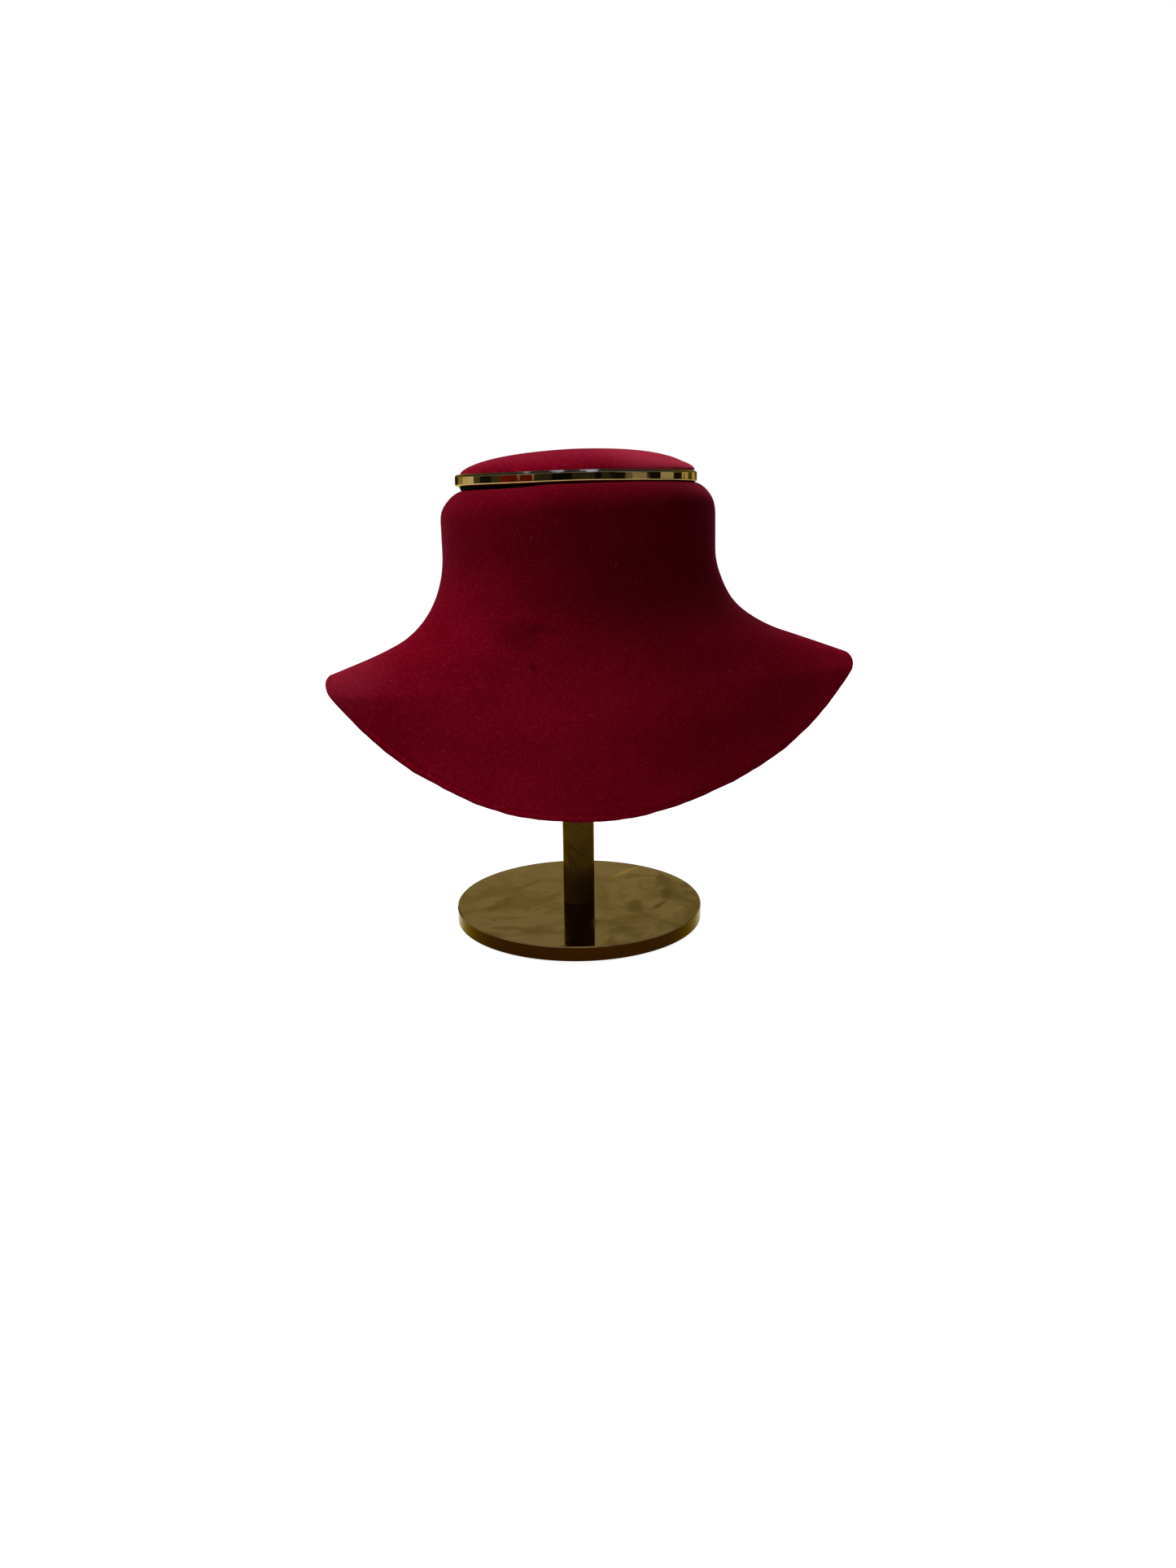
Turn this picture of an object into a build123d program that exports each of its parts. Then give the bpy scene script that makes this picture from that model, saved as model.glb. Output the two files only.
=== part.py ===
from build123d import *
from math import cos, exp, hypot, pi, radians, sin, tan
import os

# Necklace display bust: a round metal base and post that carry a suede-covered neck with a bib and
# two shoulder wings. The neck ends in a polished oval ring round a padded cap. Sizes are in mm.
# +Z is up, the bust faces -Y, and the origin is the centre of the pad's underside on the table.

# ---- base and post ----
base_diameter = 100.0
base_thickness = 5.7
base_chamfer = 0.4
pad_diameter = 94.0
pad_thickness = 0.6
post_diameter = 12.7
post_wall = 1.5
foot_plug_length = 16.0
head_plug_length = 14.0

# ---- screws and washers of the stand ----
base_screw_diameter = 6.0
base_screw_head = 12.0
base_screw_length = 14.0
base_key = 4.0
base_key_depth = 2.2
swivel_screw_diameter = 5.0
swivel_screw_length = 16.0
swivel_screw_head = 8.5
swivel_screw_head_height = 3.2
swivel_key = 3.0
swivel_key_depth = 1.8
swivel_washer_diameter = 13.0
swivel_washer_thickness = 1.0
thrust_washer_diameter = 11.6
thrust_washer_thickness = 1.0

# ---- swivel socket in the bust ----
socket_wall = 2.6
socket_depth = 34.0
socket_top_wall = 4.0
flange_diameter = 31.0
flange_thickness = 3.0
flange_screw_diameter = 3.0
flange_screw_head = 5.4
flange_screw_length = 14.0
flange_screw_circle = 23.6
flange_screw_count = 4
access_bore_diameter = 16.0

# ---- neck ----
neck_underside_height = 101.5
neck_top_height = 171.0
neck_half_width = 51.6
neck_front_y = -45.0
neck_back_y = 30.0
neck_side_y = -9.0
neck_lean = 8.0
rim_radius = 8.0

# ---- shoulders ----
shoulder_start_height = 148.1
shoulder_radius = 32.0
shoulder_slope = 20.0
shoulder_half_span = 112.0
wing_ridge_y = -40.5
wing_back_thickness = 9.0
ridge_sweep = 17.0
nape_half_width = 55.0
nape_sharpness = 4.0

# ---- bib ----
bib_bottom_height = 54.6
bib_radius = 118.3
chest_depth = 10.0
chest_height = 86.0
chest_start_height = 134.0
bib_edge_share = 0.5
bib_edge_thickness = 6.5
tip_radius = 4.0

# ---- build-up of the bust ----
seam_offset = 4.0
edge_band_width = 2.6
core_width = 66.0
core_depth = 34.0
underside_panel_thickness = 2.8
underside_panel_margin = 4.0

# ---- cap and ring ----
cap_centre_y = -5.0
ring_half_width = 44.8
ring_half_depth = 32.6
ring_height = 4.2
ring_wall = 1.8
ring_edge_radius = 0.8
cap_gap = 0.9
cap_crown = 8.0
cap_board_thickness = 3.2
cap_plinth_inset = 0.6
cap_cover_thickness = 0.8
cap_cover_lift = 0.3
dowel_diameter = 6.0
dowel_length = 14.0
dowel_spacing = 52.0

# ---- fits ----
running_clearance = 0.05
fixed_clearance = 0.02
glue_line = 0.1
loose_clearance = 0.2

# ---- places that follow from the sizes ----
base_top = pad_thickness + base_thickness
post_radius = post_diameter / 2
post_bore = post_radius - post_wall
socket_bore = post_radius + running_clearance
socket_radius = socket_bore + socket_wall
flange_bottom = neck_underside_height - flange_thickness
post_top = flange_bottom + socket_depth
socket_ceiling = post_top + thrust_washer_thickness + running_clearance
socket_top = socket_ceiling + socket_top_wall
swivel_head_seat = socket_top + running_clearance + swivel_washer_thickness
rim_start_height = neck_top_height - rim_radius
bib_centre_height = bib_bottom_height + bib_radius
shoulder_turn = 90 - shoulder_slope
shoulder_arc_width = neck_half_width + shoulder_radius * (1 - cos(radians(shoulder_turn)))
shoulder_arc_height = shoulder_start_height - shoulder_radius * sin(radians(shoulder_turn))
band_inner_radius = bib_radius - edge_band_width
ring_bottom = neck_top_height + cap_gap
ring_top = ring_bottom + ring_height
cap_board_top = ring_bottom + cap_board_thickness
cushion_half_width = ring_half_width - ring_wall - fixed_clearance
cushion_half_depth = ring_half_depth - ring_wall - fixed_clearance
dowel_top = cap_board_top - 1.0
dowel_bottom = dowel_top - dowel_length
far = 2 * (shoulder_half_span + neck_top_height)
overrun = 12.0
outline_lift = 0.4

os.makedirs("parts", exist_ok=True)


def save(shape, node):
    export_step(shape, f"parts/{node}.step")


def cylinder(radius, low, high, x=0.0, y=0.0):
    """An upright cylinder between two heights."""
    return Pos(x, y, (low + high) / 2) * Cylinder(radius, high - low)


def tube(outer, inner, low, high):
    return cylinder(outer, low, high) - cylinder(inner, low - 1, high + 1)


def oval(half_width, half_depth, low, high):
    """An upright oval block about the cap's centre."""
    face = Plane.XY.offset(low) * Pos(0, cap_centre_y) * Ellipse(half_width, half_depth)
    return extrude(face, high - low)


def slab(low, high):
    """Everything between two heights."""
    return Pos(0, 0, (low + high) / 2) * Box(far, far, high - low)


def cross_cylinder(radius, height):
    """A cylinder along Y that runs right through the bust."""
    return Pos(0, 0, height) * Rot(90, 0, 0) * Cylinder(radius, far)


def countersunk_screw(diameter, head, length, head_bottom):
    """A screw that points up, with its flat head's face at head_bottom."""
    cone_height = (head - diameter) / 2
    cone = Pos(0, 0, head_bottom + cone_height / 2) * Cone(head / 2, diameter / 2, cone_height)
    return cone + cylinder(diameter / 2, head_bottom + cone_height, head_bottom + length)


def countersunk_hole(diameter, head, length, head_bottom, clearance):
    """Room for a countersunk screw and a little air past its tip."""
    return countersunk_screw(diameter + 2 * clearance, head + 2 * clearance, length + clearance, head_bottom)


def key_hole(across_flats, low, high):
    """A hexagon socket for a key."""
    hexagon = RegularPolygon(across_flats / 2, 6, major_radius=False)
    return extrude(Plane.XY.offset(low) * hexagon, high - low)


def cross_slot(width, length, low, high):
    """A cross recess for a driver."""
    slot = Pos(0, 0, (low + high) / 2) * Box(length, width, high - low)
    return slot + Rot(0, 0, 90) * slot


# ---- form of the bust ----

def shoulder_half_width(height):
    """Half the width of neck and shoulders in front view: a straight side, an arc and a slope."""
    if height >= shoulder_start_height:
        return neck_half_width
    if height >= shoulder_arc_height:
        drop = (shoulder_start_height - height) / shoulder_radius
        return neck_half_width + shoulder_radius * (1 - (1 - drop ** 2) ** 0.5)
    slope_width = (shoulder_arc_height - height) / tan(radians(shoulder_slope))
    return min(shoulder_half_span, shoulder_arc_width + slope_width)


def front_depth(height, x=0.0):
    """How far forward the front lies: an upright neck and a full chest that falls to the bib's edge."""
    swell = 1.0
    if height >= chest_start_height:
        swell = 0.0
    elif height >= chest_height:
        swell = (1 + cos(pi * (height - chest_height) / (chest_start_height - chest_height))) / 2
    reach = hypot(x, height - bib_centre_height)
    full_reach = bib_centre_height - chest_height
    fall = min(1.1, max(0.0, reach - full_reach) / (bib_radius - full_reach))
    swell *= 1 - (1 - bib_edge_share) * fall ** 2
    return neck_front_y - chest_depth * swell


def neck_shift(height):
    """The neck leans back, so its middle and its back move forward further down."""
    return -tan(radians(neck_lean)) * (rim_start_height - min(height, rim_start_height))


def ridge_depth(half_width, height):
    """Where the side of the section lies: the neck's side, or the shoulder ridge further out."""
    side = neck_side_y + neck_shift(height) / 2
    reach = exp(-(half_width - neck_half_width) / ridge_sweep)
    return wing_ridge_y + (side - wing_ridge_y) * reach


def nape_depth(x, half_width, side, back):
    """Back of neck and wings: an oval on the neck that opens into thin wings on the shoulders."""
    rise = max(0.0, 1 - (x / half_width) ** 2) ** 0.5
    spread = min(1.0, (half_width - neck_half_width) / shoulder_radius)
    oval_back = side + (back - side) * rise
    wing = side + wing_back_thickness * rise
    bell = exp(-abs(x / nape_half_width) ** nape_sharpness)
    winged_back = wing + (back - wing) * bell * rise
    return oval_back + (winged_back - oval_back) * spread


def section(level, half_width, side, front_of, back_of):
    """One level section of the bust: front_of(x) before the sides and back_of(x) behind them."""
    steps = 18
    points = []
    for step in range(2 * steps):
        ratio = cos(pi * step / steps)
        rise = abs(sin(pi * step / steps))
        if step < steps:
            y = side - (side - front_of(half_width * ratio)) * rise
        else:
            y = back_of(half_width * ratio)
        points.append((half_width * ratio, y, level))
    return Face(Wire([Spline(*points, periodic=True)]))


def neck_section(height, shrink=0.0):
    """A section through neck and shoulders, shrunk all round where the rim is rounded."""
    half_width = shoulder_half_width(height)
    side = ridge_depth(half_width, height)
    back = neck_back_y + neck_shift(height)
    spread = half_width / (half_width - shrink)

    def front_of(x):
        return front_depth(height, x * spread) + shrink

    def back_of(x):
        rise = max(0.0, 1 - (x * spread / half_width) ** 2) ** 0.5
        return nape_depth(x * spread, half_width, side, back) - shrink * rise

    return section(height, half_width - shrink, side, front_of, back_of)


def neck_and_shoulders():
    """Neck, shoulders and wings as one form, cut to the bust's outline."""
    faces = []
    for angle in (90, 66, 44, 22, 0):
        height = rim_start_height + rim_radius * sin(radians(angle))
        faces.append(neck_section(height, rim_radius * (1 - cos(radians(angle)))))
    for share in (0.0, 0.23, 0.46, 0.68, 0.86, 1.0):
        faces.append(neck_section(shoulder_start_height - shoulder_radius * sin(radians(shoulder_turn * share))))
    slope_drop = shoulder_arc_height - neck_underside_height
    for share in (0.2, 0.4, 0.6, 0.8, 1.0):
        faces.append(neck_section(shoulder_arc_height - slope_drop * share))
    return loft(faces) & bib_outline()


def bib():
    """The thinner bib that hangs below the neck's underside, cut to the bust's outline."""
    drop = neck_underside_height - bib_bottom_height + overrun
    shares = (0.0, 0.12, 0.27, 0.45, 0.63, 0.82, 1.0)
    form = loft([neck_section(neck_underside_height - drop * share) for share in shares])
    return form & bib_backing() & bib_outline()


def bib_backing():
    """All that lies in front of the bib's back, which is far from the front under the neck."""
    lowest = bib_bottom_height - 2 * overrun
    highest = neck_underside_height + overrun
    side = ridge_depth(shoulder_half_span, neck_underside_height)
    thick = side + wing_back_thickness - front_depth(neck_underside_height)
    faces = []
    for share in (0.0, 0.2, 0.4, 0.6, 0.8, 1.0):
        height = lowest + (highest - lowest) * share
        thin = (neck_underside_height - height) / (neck_underside_height - bib_bottom_height)
        thin = min(1.0, max(0.0, thin))
        back = front_depth(height) + thick + (bib_edge_thickness - thick) * thin
        faces.append(backing_section(height, side, back))
    return loft(faces)


def backing_section(height, side, back):
    half_width = 2 * shoulder_half_span

    def back_of(x):
        return side + (back - side) * max(0.0, 1 - (x / half_width) ** 2) ** 0.5

    return section(height, half_width, side, lambda x: side - half_width, back_of)


def bib_outline():
    """The bib's round lower edge with its rounded tips, as seen from the front, run through the bust."""
    slope = tan(radians(shoulder_slope))
    peak = shoulder_arc_height + shoulder_arc_width * slope + outline_lift
    side_height = peak - far * slope
    under_slope = make_face(Polyline((0, peak), (far, side_height), (far, side_height - far),
                                     (-far, side_height - far), (-far, side_height), (0, peak)))
    face = under_slope & (Pos(0, bib_centre_height) * Circle(bib_radius))
    tips = [corner for corner in face.vertices() if abs(corner.X) > shoulder_arc_width]
    face = fillet(tips, tip_radius)
    low_part = extrude(Plane.XZ.offset(-far / 2) * face, far)
    neck_part = Pos(0, 0, shoulder_arc_height + far / 2) * Box(2 * shoulder_arc_width, far, far)
    return low_part + neck_part


def front_of_seam():
    """Everything in front of the line where the bust's halves meet, just behind the shoulder ridges."""
    steps = 8
    widths = [neck_half_width + step * (shoulder_half_span - neck_half_width) / steps
              for step in range(steps + 1)]
    right = [(width, ridge_depth(width, rim_start_height) + seam_offset) for width in widths]
    right.append((far, right[-1][1]))
    left = [(-x, y) for x, y in right[::-1]]
    line = left + right + [(far, -far), (-far, -far), left[0]]
    return extrude(make_face(Polyline(*line)), far)


# ---- pieces of the stand ----

def base_disc():
    disc = cylinder(base_diameter / 2, pad_thickness, base_top)
    disc = chamfer(disc.edges().group_by(Axis.Z)[-1], base_chamfer)
    return disc - countersunk_hole(base_screw_diameter, base_screw_head, base_thickness + 1, pad_thickness,
                                   loose_clearance)


def base_screw():
    screw = countersunk_screw(base_screw_diameter, base_screw_head, base_screw_length, pad_thickness)
    return screw - key_hole(base_key, pad_thickness, pad_thickness + base_key_depth)


def foot_plug():
    return tube(post_bore - fixed_clearance, base_screw_diameter / 2 + running_clearance, base_top,
                base_top + foot_plug_length)


def head_plug():
    return tube(post_bore - fixed_clearance, swivel_screw_diameter / 2 + running_clearance,
                post_top - head_plug_length, post_top)


def thrust_washer():
    return tube(thrust_washer_diameter / 2, swivel_screw_diameter / 2 + loose_clearance, post_top,
                post_top + thrust_washer_thickness)


def swivel_washer():
    return tube(swivel_washer_diameter / 2, swivel_screw_diameter / 2 + loose_clearance,
                swivel_head_seat - swivel_washer_thickness, swivel_head_seat)


def swivel_screw():
    head_top = swivel_head_seat + swivel_screw_head_height
    head = cylinder(swivel_screw_head / 2, swivel_head_seat, head_top)
    head = fillet(head.edges().group_by(Axis.Z)[-1], swivel_screw_head_height / 3)
    shank = cylinder(swivel_screw_diameter / 2, swivel_head_seat - swivel_screw_length, swivel_head_seat)
    return head + shank - key_hole(swivel_key, head_top - swivel_key_depth, head_top)


# ---- pieces of the bust ----

def flange_screw_places():
    return PolarLocations(flange_screw_circle / 2, flange_screw_count, start_angle=45)


def swivel_socket():
    """A flanged sleeve, closed at the top, that turns on the post."""
    body = cylinder(flange_diameter / 2, flange_bottom, neck_underside_height)
    body += cylinder(socket_radius, neck_underside_height, socket_top)
    body -= cylinder(socket_bore, flange_bottom - 1, socket_ceiling)
    body -= cylinder(swivel_screw_diameter / 2 + loose_clearance, socket_ceiling - 1, socket_top + 1)
    for place in flange_screw_places():
        body -= place * countersunk_hole(flange_screw_diameter, flange_screw_head, flange_screw_length,
                                         flange_bottom, running_clearance)
    return body


def flange_screws():
    screw = countersunk_screw(flange_screw_diameter, flange_screw_head, flange_screw_length, flange_bottom)
    screw -= cross_slot(flange_screw_diameter / 4, flange_screw_diameter, flange_bottom, flange_bottom + 1)
    return Compound([place * screw for place in flange_screw_places()])


def dowel_places():
    return [Pos(x, cap_centre_y, 0) for x in (-dowel_spacing / 2, dowel_spacing / 2)]


def cap_dowels():
    dowel = cylinder(dowel_diameter / 2, dowel_bottom, dowel_top)
    return Compound([place * dowel for place in dowel_places()])


def dowel_holes(low, high):
    hole = cylinder(dowel_diameter / 2 + fixed_clearance, low, high)
    return [place * hole for place in dowel_places()]


def core_room(clearance):
    """The space of the wooden block inside the neck, widened by a clearance."""
    height = neck_top_height - neck_underside_height
    block = Box(core_width + 2 * clearance, core_depth + 2 * clearance, height)
    return Pos(0, cap_centre_y, neck_underside_height + height / 2) * block


def core_block():
    """A wooden block bored for the socket, for its screws, for the swivel screw and for the dowels."""
    body = core_room(0.0)
    body -= cylinder(socket_radius + loose_clearance, 0, socket_top + loose_clearance)
    body -= cylinder(access_bore_diameter / 2, socket_top, neck_top_height)
    for place in flange_screw_places():
        body -= place * cylinder(flange_screw_diameter / 2 + running_clearance, 0,
                                 flange_bottom + flange_screw_length + loose_clearance)
    for hole in dowel_holes(dowel_bottom - loose_clearance, neck_top_height):
        body -= hole
    return body


def inside_the_band():
    return cross_cylinder(band_inner_radius, bib_centre_height)


def bust_halves(upper, lower):
    """The suede-covered halves round the block, which meet along the seam; the bib hangs from the front one."""
    body = (upper & inside_the_band()) - core_room(glue_line)
    front = (body & front_of_seam()) + (lower & inside_the_band())
    return front, body - front_of_seam()


def edge_band(upper, lower):
    """The covered strip round the bib's lower edge."""
    return (upper - inside_the_band()) + (lower - inside_the_band())


def underside_panel():
    """The covered board under the neck, behind the bib and round the socket's flange."""
    outline = Pos(0, 0, -glue_line) * neck_section(neck_underside_height, underside_panel_margin)
    board = extrude(outline, underside_panel_thickness, dir=(0, 0, -1))
    board -= Pos(0, underside_panel_margin, 0) * bib_backing()
    return board - cylinder(flange_diameter / 2 + loose_clearance, 0, neck_underside_height)


# ---- cap and ring ----

def cushion(inset, low):
    """The cap's padded form: an upright oval wall and a domed crown."""
    half_width = cushion_half_width - inset
    half_depth = cushion_half_depth - inset
    dome = Pos(0, cap_centre_y, ring_top) * scale(Sphere(1), by=(half_width, half_depth, cap_crown - inset))
    return oval(half_width, half_depth, low, ring_top) + (dome & slab(ring_top, ring_top + far))


def cap_ring():
    ring = oval(ring_half_width, ring_half_depth, ring_bottom, ring_top)
    ring -= oval(ring_half_width - ring_wall, ring_half_depth - ring_wall, ring_bottom - 1, ring_top + 1)
    return fillet(ring.edges(), ring_edge_radius)


def cap_board():
    """The board under the cushion, with a smaller plinth that leaves a shadow gap under the ring."""
    inset = cap_cover_thickness + glue_line
    half_width = cushion_half_width - inset
    half_depth = cushion_half_depth - inset
    board = oval(half_width, half_depth, ring_bottom, cap_board_top)
    board += oval(half_width - cap_plinth_inset, half_depth - cap_plinth_inset, neck_top_height, ring_bottom)
    for hole in dowel_holes(neck_top_height - 1, dowel_top + fixed_clearance):
        board -= hole
    return board


def cap_cover():
    low = ring_bottom + cap_cover_lift
    return cushion(0.0, low) - cushion(cap_cover_thickness, low - 1)


def cap_foam():
    return cushion(cap_cover_thickness + fixed_clearance, cap_board_top)


save(cylinder(pad_diameter / 2, 0, pad_thickness), "base_pad")
save(base_disc(), "base_disc")
save(base_screw(), "base_screw")
save(foot_plug(), "foot_plug")
save(tube(post_radius, post_bore, base_top, post_top), "post_tube")
save(head_plug(), "head_plug")
save(thrust_washer(), "thrust_washer")
save(swivel_washer(), "swivel_washer")
save(swivel_screw(), "swivel_screw")
save(swivel_socket(), "swivel_socket")
save(flange_screws(), "flange_screws")
upper = neck_and_shoulders()
lower = bib()
front_half, back_half = bust_halves(upper, lower)
save(core_block(), "core_block")
save(front_half, "front_half")
save(back_half, "back_half")
save(edge_band(upper, lower), "edge_band")
save(underside_panel(), "underside_panel")
save(cap_dowels(), "cap_dowels")
save(cap_board(), "cap_board")
save(cap_foam(), "cap_foam")
save(cap_cover(), "cap_cover")
save(cap_ring(), "cap_ring")
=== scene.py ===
"""Looks of a jewellery display bust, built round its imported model.

A suede-covered neck and bib, a padded cap in a polished oval ring, and a satin brass post and base.
"""

import math

import bmesh
import bpy
from bpy.props import FloatProperty, FloatVectorProperty, PointerProperty
from mathutils import Matrix, Vector


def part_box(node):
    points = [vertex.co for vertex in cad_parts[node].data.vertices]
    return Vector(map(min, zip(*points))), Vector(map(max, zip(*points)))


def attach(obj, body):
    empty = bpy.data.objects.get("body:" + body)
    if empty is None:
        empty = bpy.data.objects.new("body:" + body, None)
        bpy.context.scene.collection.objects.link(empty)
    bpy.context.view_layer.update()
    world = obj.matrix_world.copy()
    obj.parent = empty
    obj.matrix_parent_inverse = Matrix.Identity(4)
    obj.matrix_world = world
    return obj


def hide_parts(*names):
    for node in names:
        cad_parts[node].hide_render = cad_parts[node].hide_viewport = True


bl_info = {
    "name": "Jewellery Display Bust",
    "version": (1, 0, 0),
    "blender": (4, 5, 0),
    "location": "3D View > Sidebar > Bust",
    "description": "Suede bust with a ringed cap on a brass post and base",
    "category": "Add Mesh",
}

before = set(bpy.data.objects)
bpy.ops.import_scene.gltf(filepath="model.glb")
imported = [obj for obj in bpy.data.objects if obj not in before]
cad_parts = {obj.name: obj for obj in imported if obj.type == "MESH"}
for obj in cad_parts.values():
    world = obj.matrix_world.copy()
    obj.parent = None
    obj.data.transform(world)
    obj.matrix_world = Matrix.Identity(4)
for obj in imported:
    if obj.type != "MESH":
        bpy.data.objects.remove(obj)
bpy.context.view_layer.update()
MM = 0.001

# ---- form of the bust, in millimetres, as the frame's solids have it ----
NECK_TOP = 171.0
NECK_UNDERSIDE = 101.5
NECK_HALF_WIDTH = 51.6
NECK_FRONT_Y = -45.0
NECK_BACK_Y = 30.0
NECK_SIDE_Y = -9.0
NECK_LEAN = math.radians(8.0)
RIM_RADIUS = 8.0
SHOULDER_START = 148.1
SHOULDER_RADIUS = 32.0
SHOULDER_SLOPE = math.radians(20.0)
SHOULDER_HALF_SPAN = 112.0
WING_RIDGE_Y = -40.5
WING_THICKNESS = 9.0
RIDGE_SWEEP = 17.0
NAPE_HALF_WIDTH = 55.0
BIB_BOTTOM = 54.6
BIB_RADIUS = 118.3
BIB_CENTRE = BIB_BOTTOM + BIB_RADIUS
CHEST_DEPTH = 10.0
CHEST_HEIGHT = 86.0
CHEST_START = 134.0
BIB_EDGE_SHARE = 0.5
BIB_EDGE_THICKNESS = 6.5
TIP_RADIUS = 4.0
BIB_FALL_LIMIT = 1.1    # how far past the bib's edge its thinning is followed
ARC_TURN = math.pi / 2 - SHOULDER_SLOPE
ARC_WIDTH = NECK_HALF_WIDTH + SHOULDER_RADIUS * (1 - math.cos(ARC_TURN))
ARC_HEIGHT = SHOULDER_START - SHOULDER_RADIUS * math.sin(ARC_TURN)
RIM_START = NECK_TOP - RIM_RADIUS

# ---- how the covering was pulled out of true by hand: lengths in mm, spans as (from, to) ----
# Stretches of the bib's edge: how far it falls short of its circle, at which angle, how widely
UNEVEN_EDGE = ((-1.1, -0.33, 0.20), (-0.35, -0.66, 0.12), (0.9, 0.33, 0.18), (-0.3, 0.0, 0.2))
UNEVEN_DEPTH = (22.0, 4.0)      # how far inside the circle the unevenness fades in
LEAN_FROM = 146.0               # the neck's top leans from this height up,
LEFT_LEAN, RIGHT_LEAN = 1.4, 1.0    # down at its left side and up at its right side,
CROWN_BASE, CROWN_RISE, CROWN_FALL = 0.1, 0.85, 0.5     # and its rim is raised in the middle
CROWN_RISES, CROWN_FALLS = (-32.0, -16.0), (10.0, 45.0)
RIM_DRAWN, RIM_DRAWN_FROM = 2.2, 160.0  # the rim's sides are drawn to the left from here up
SHOULDER_DRAWN = 1.8            # the right shoulder is drawn in round one height
SHOULDER_HOLLOW = (127.0, 8.0)  # that height, and how far the hollow spreads
SHOULDER_ACROSS = (20.0, 60.0)
WING_LIFT = 0.5                 # the left wing stands a little higher
WING_ACROSS, WING_UP = (75.0, 95.0), (102.0, 110.0)

# ---- small pieces, in millimetres ----
MERGE_DISTANCE = 0.004  # points nearer than this become one
STEP_DEPTH = 0.01       # height of the step where the neck's back ends and the bib's begins
ROLL_TIP_WIDTH = 0.3    # the roll thins out to this at the bib's tips,
ROLL_TAPER = (0.02, 0.2)    # over these shares of the way from each tip,
ROLL_BLEND = 4.0        # and its back moves from the bib's to the wings' over this height
ROLL_SQUARENESS = 0.5   # power that fills its round section out
ROOM_TAPER = (2.0, 7.0)     # tip radii over which the covering makes room for it
ROLL_OVERLAP = 0.5      # it laps the covering inside its edge
ROLL_LAP = 0.2          # and takes this much less room in the covering than it is wide
RING_WALL = 1.8
RING_BEVEL = (0.9, 0.3)     # height and depth of the ring's lower bevel
LINT_LENGTH, LINT_THICKNESS = 0.9, 0.03

# ---- how finely things are divided ----
SIDE_STEPS, ARC_STEPS, SLOPE_STEPS, TIP_STEPS, BIB_STEPS = 12, 22, 14, 14, 72
COLUMNS, FOLD_STEPS = 110, 5
FOLD_SHARE = 0.45       # of the thickness, which a fold's radius never passes
RIM_ANGLES = (90, 82, 74, 66, 58, 50, 42, 34, 26, 18, 9)   # degrees up from the neck's side
ROLL_STEPS, ROLL_POINTS = 240, 28
OVAL_COLUMNS, CAP_ROWS = 160, 34
WALL_STEPS = 64


def shoulder_half_width(z):
    """Half the width of neck and shoulders in front view."""
    if z >= SHOULDER_START:
        return NECK_HALF_WIDTH
    if z >= ARC_HEIGHT:
        drop = (SHOULDER_START - z) / SHOULDER_RADIUS
        return NECK_HALF_WIDTH + SHOULDER_RADIUS * (1 - math.sqrt(1 - drop * drop))
    slope = ARC_WIDTH + (ARC_HEIGHT - z) / math.tan(SHOULDER_SLOPE)
    return min(SHOULDER_HALF_SPAN, slope)


def front_depth(z, x):
    """How far forward the front lies before it is rounded to the sides."""
    swell = 1.0
    if z >= CHEST_START:
        swell = 0.0
    elif z >= CHEST_HEIGHT:
        swell = (1 + math.cos(math.pi * (z - CHEST_HEIGHT) / (CHEST_START - CHEST_HEIGHT))) / 2
    reach = math.hypot(x, z - BIB_CENTRE)
    full_reach = BIB_CENTRE - CHEST_HEIGHT
    fall = min(BIB_FALL_LIMIT, max(0.0, reach - full_reach) / (BIB_RADIUS - full_reach))
    swell *= 1 - (1 - BIB_EDGE_SHARE) * fall ** 2
    return NECK_FRONT_Y - CHEST_DEPTH * swell


def neck_shift(z):
    return -math.tan(NECK_LEAN) * (RIM_START - min(z, RIM_START))


def ridge_y(half_width, z):
    """Where the side of a section lies, from the neck's side out to the shoulder ridge."""
    side = NECK_SIDE_Y + neck_shift(z) / 2
    sweep = math.exp(-(half_width - NECK_HALF_WIDTH) / RIDGE_SWEEP)
    return WING_RIDGE_Y + (side - WING_RIDGE_Y) * sweep


def rise_at(x, half_width):
    return math.sqrt(max(0.0, 1 - (x / half_width) ** 2))


def front_y(x, z, shrink=0.0):
    half_width = shoulder_half_width(z)
    spread = half_width / (half_width - shrink)
    side = ridge_y(half_width, z)
    return side - (side - front_depth(z, x * spread) - shrink) * rise_at(x * spread, half_width)


def neck_back_y(x, z, shrink=0.0):
    """The back of neck and wings: an oval on the neck that opens into thin wings."""
    half_width = shoulder_half_width(z)
    wide = x * half_width / (half_width - shrink)
    rise = rise_at(wide, half_width)
    side = ridge_y(half_width, z)
    back = NECK_BACK_Y + neck_shift(z)
    oval_back = side + (back - side) * rise
    wing = side + WING_THICKNESS * rise
    bell = math.exp(-abs(wide / NAPE_HALF_WIDTH) ** 4)
    winged = wing + (back - wing) * bell * rise
    spread = min(1.0, (half_width - NECK_HALF_WIDTH) / SHOULDER_RADIUS)
    return oval_back + (winged - oval_back) * spread - shrink * rise


def bib_back_y(x, z):
    """The back of the bib, thick under the neck and thin at its lower edge."""
    side = ridge_y(SHOULDER_HALF_SPAN, NECK_UNDERSIDE)
    thick = side + WING_THICKNESS - front_depth(NECK_UNDERSIDE, 0.0)
    thin = min(1.0, max(0.0, (NECK_UNDERSIDE - z) / (NECK_UNDERSIDE - BIB_BOTTOM)))
    back = front_depth(z, 0.0) + thick + (BIB_EDGE_THICKNESS - thick) * thin
    return side + (back - side) * rise_at(x, 2 * SHOULDER_HALF_SPAN)


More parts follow.
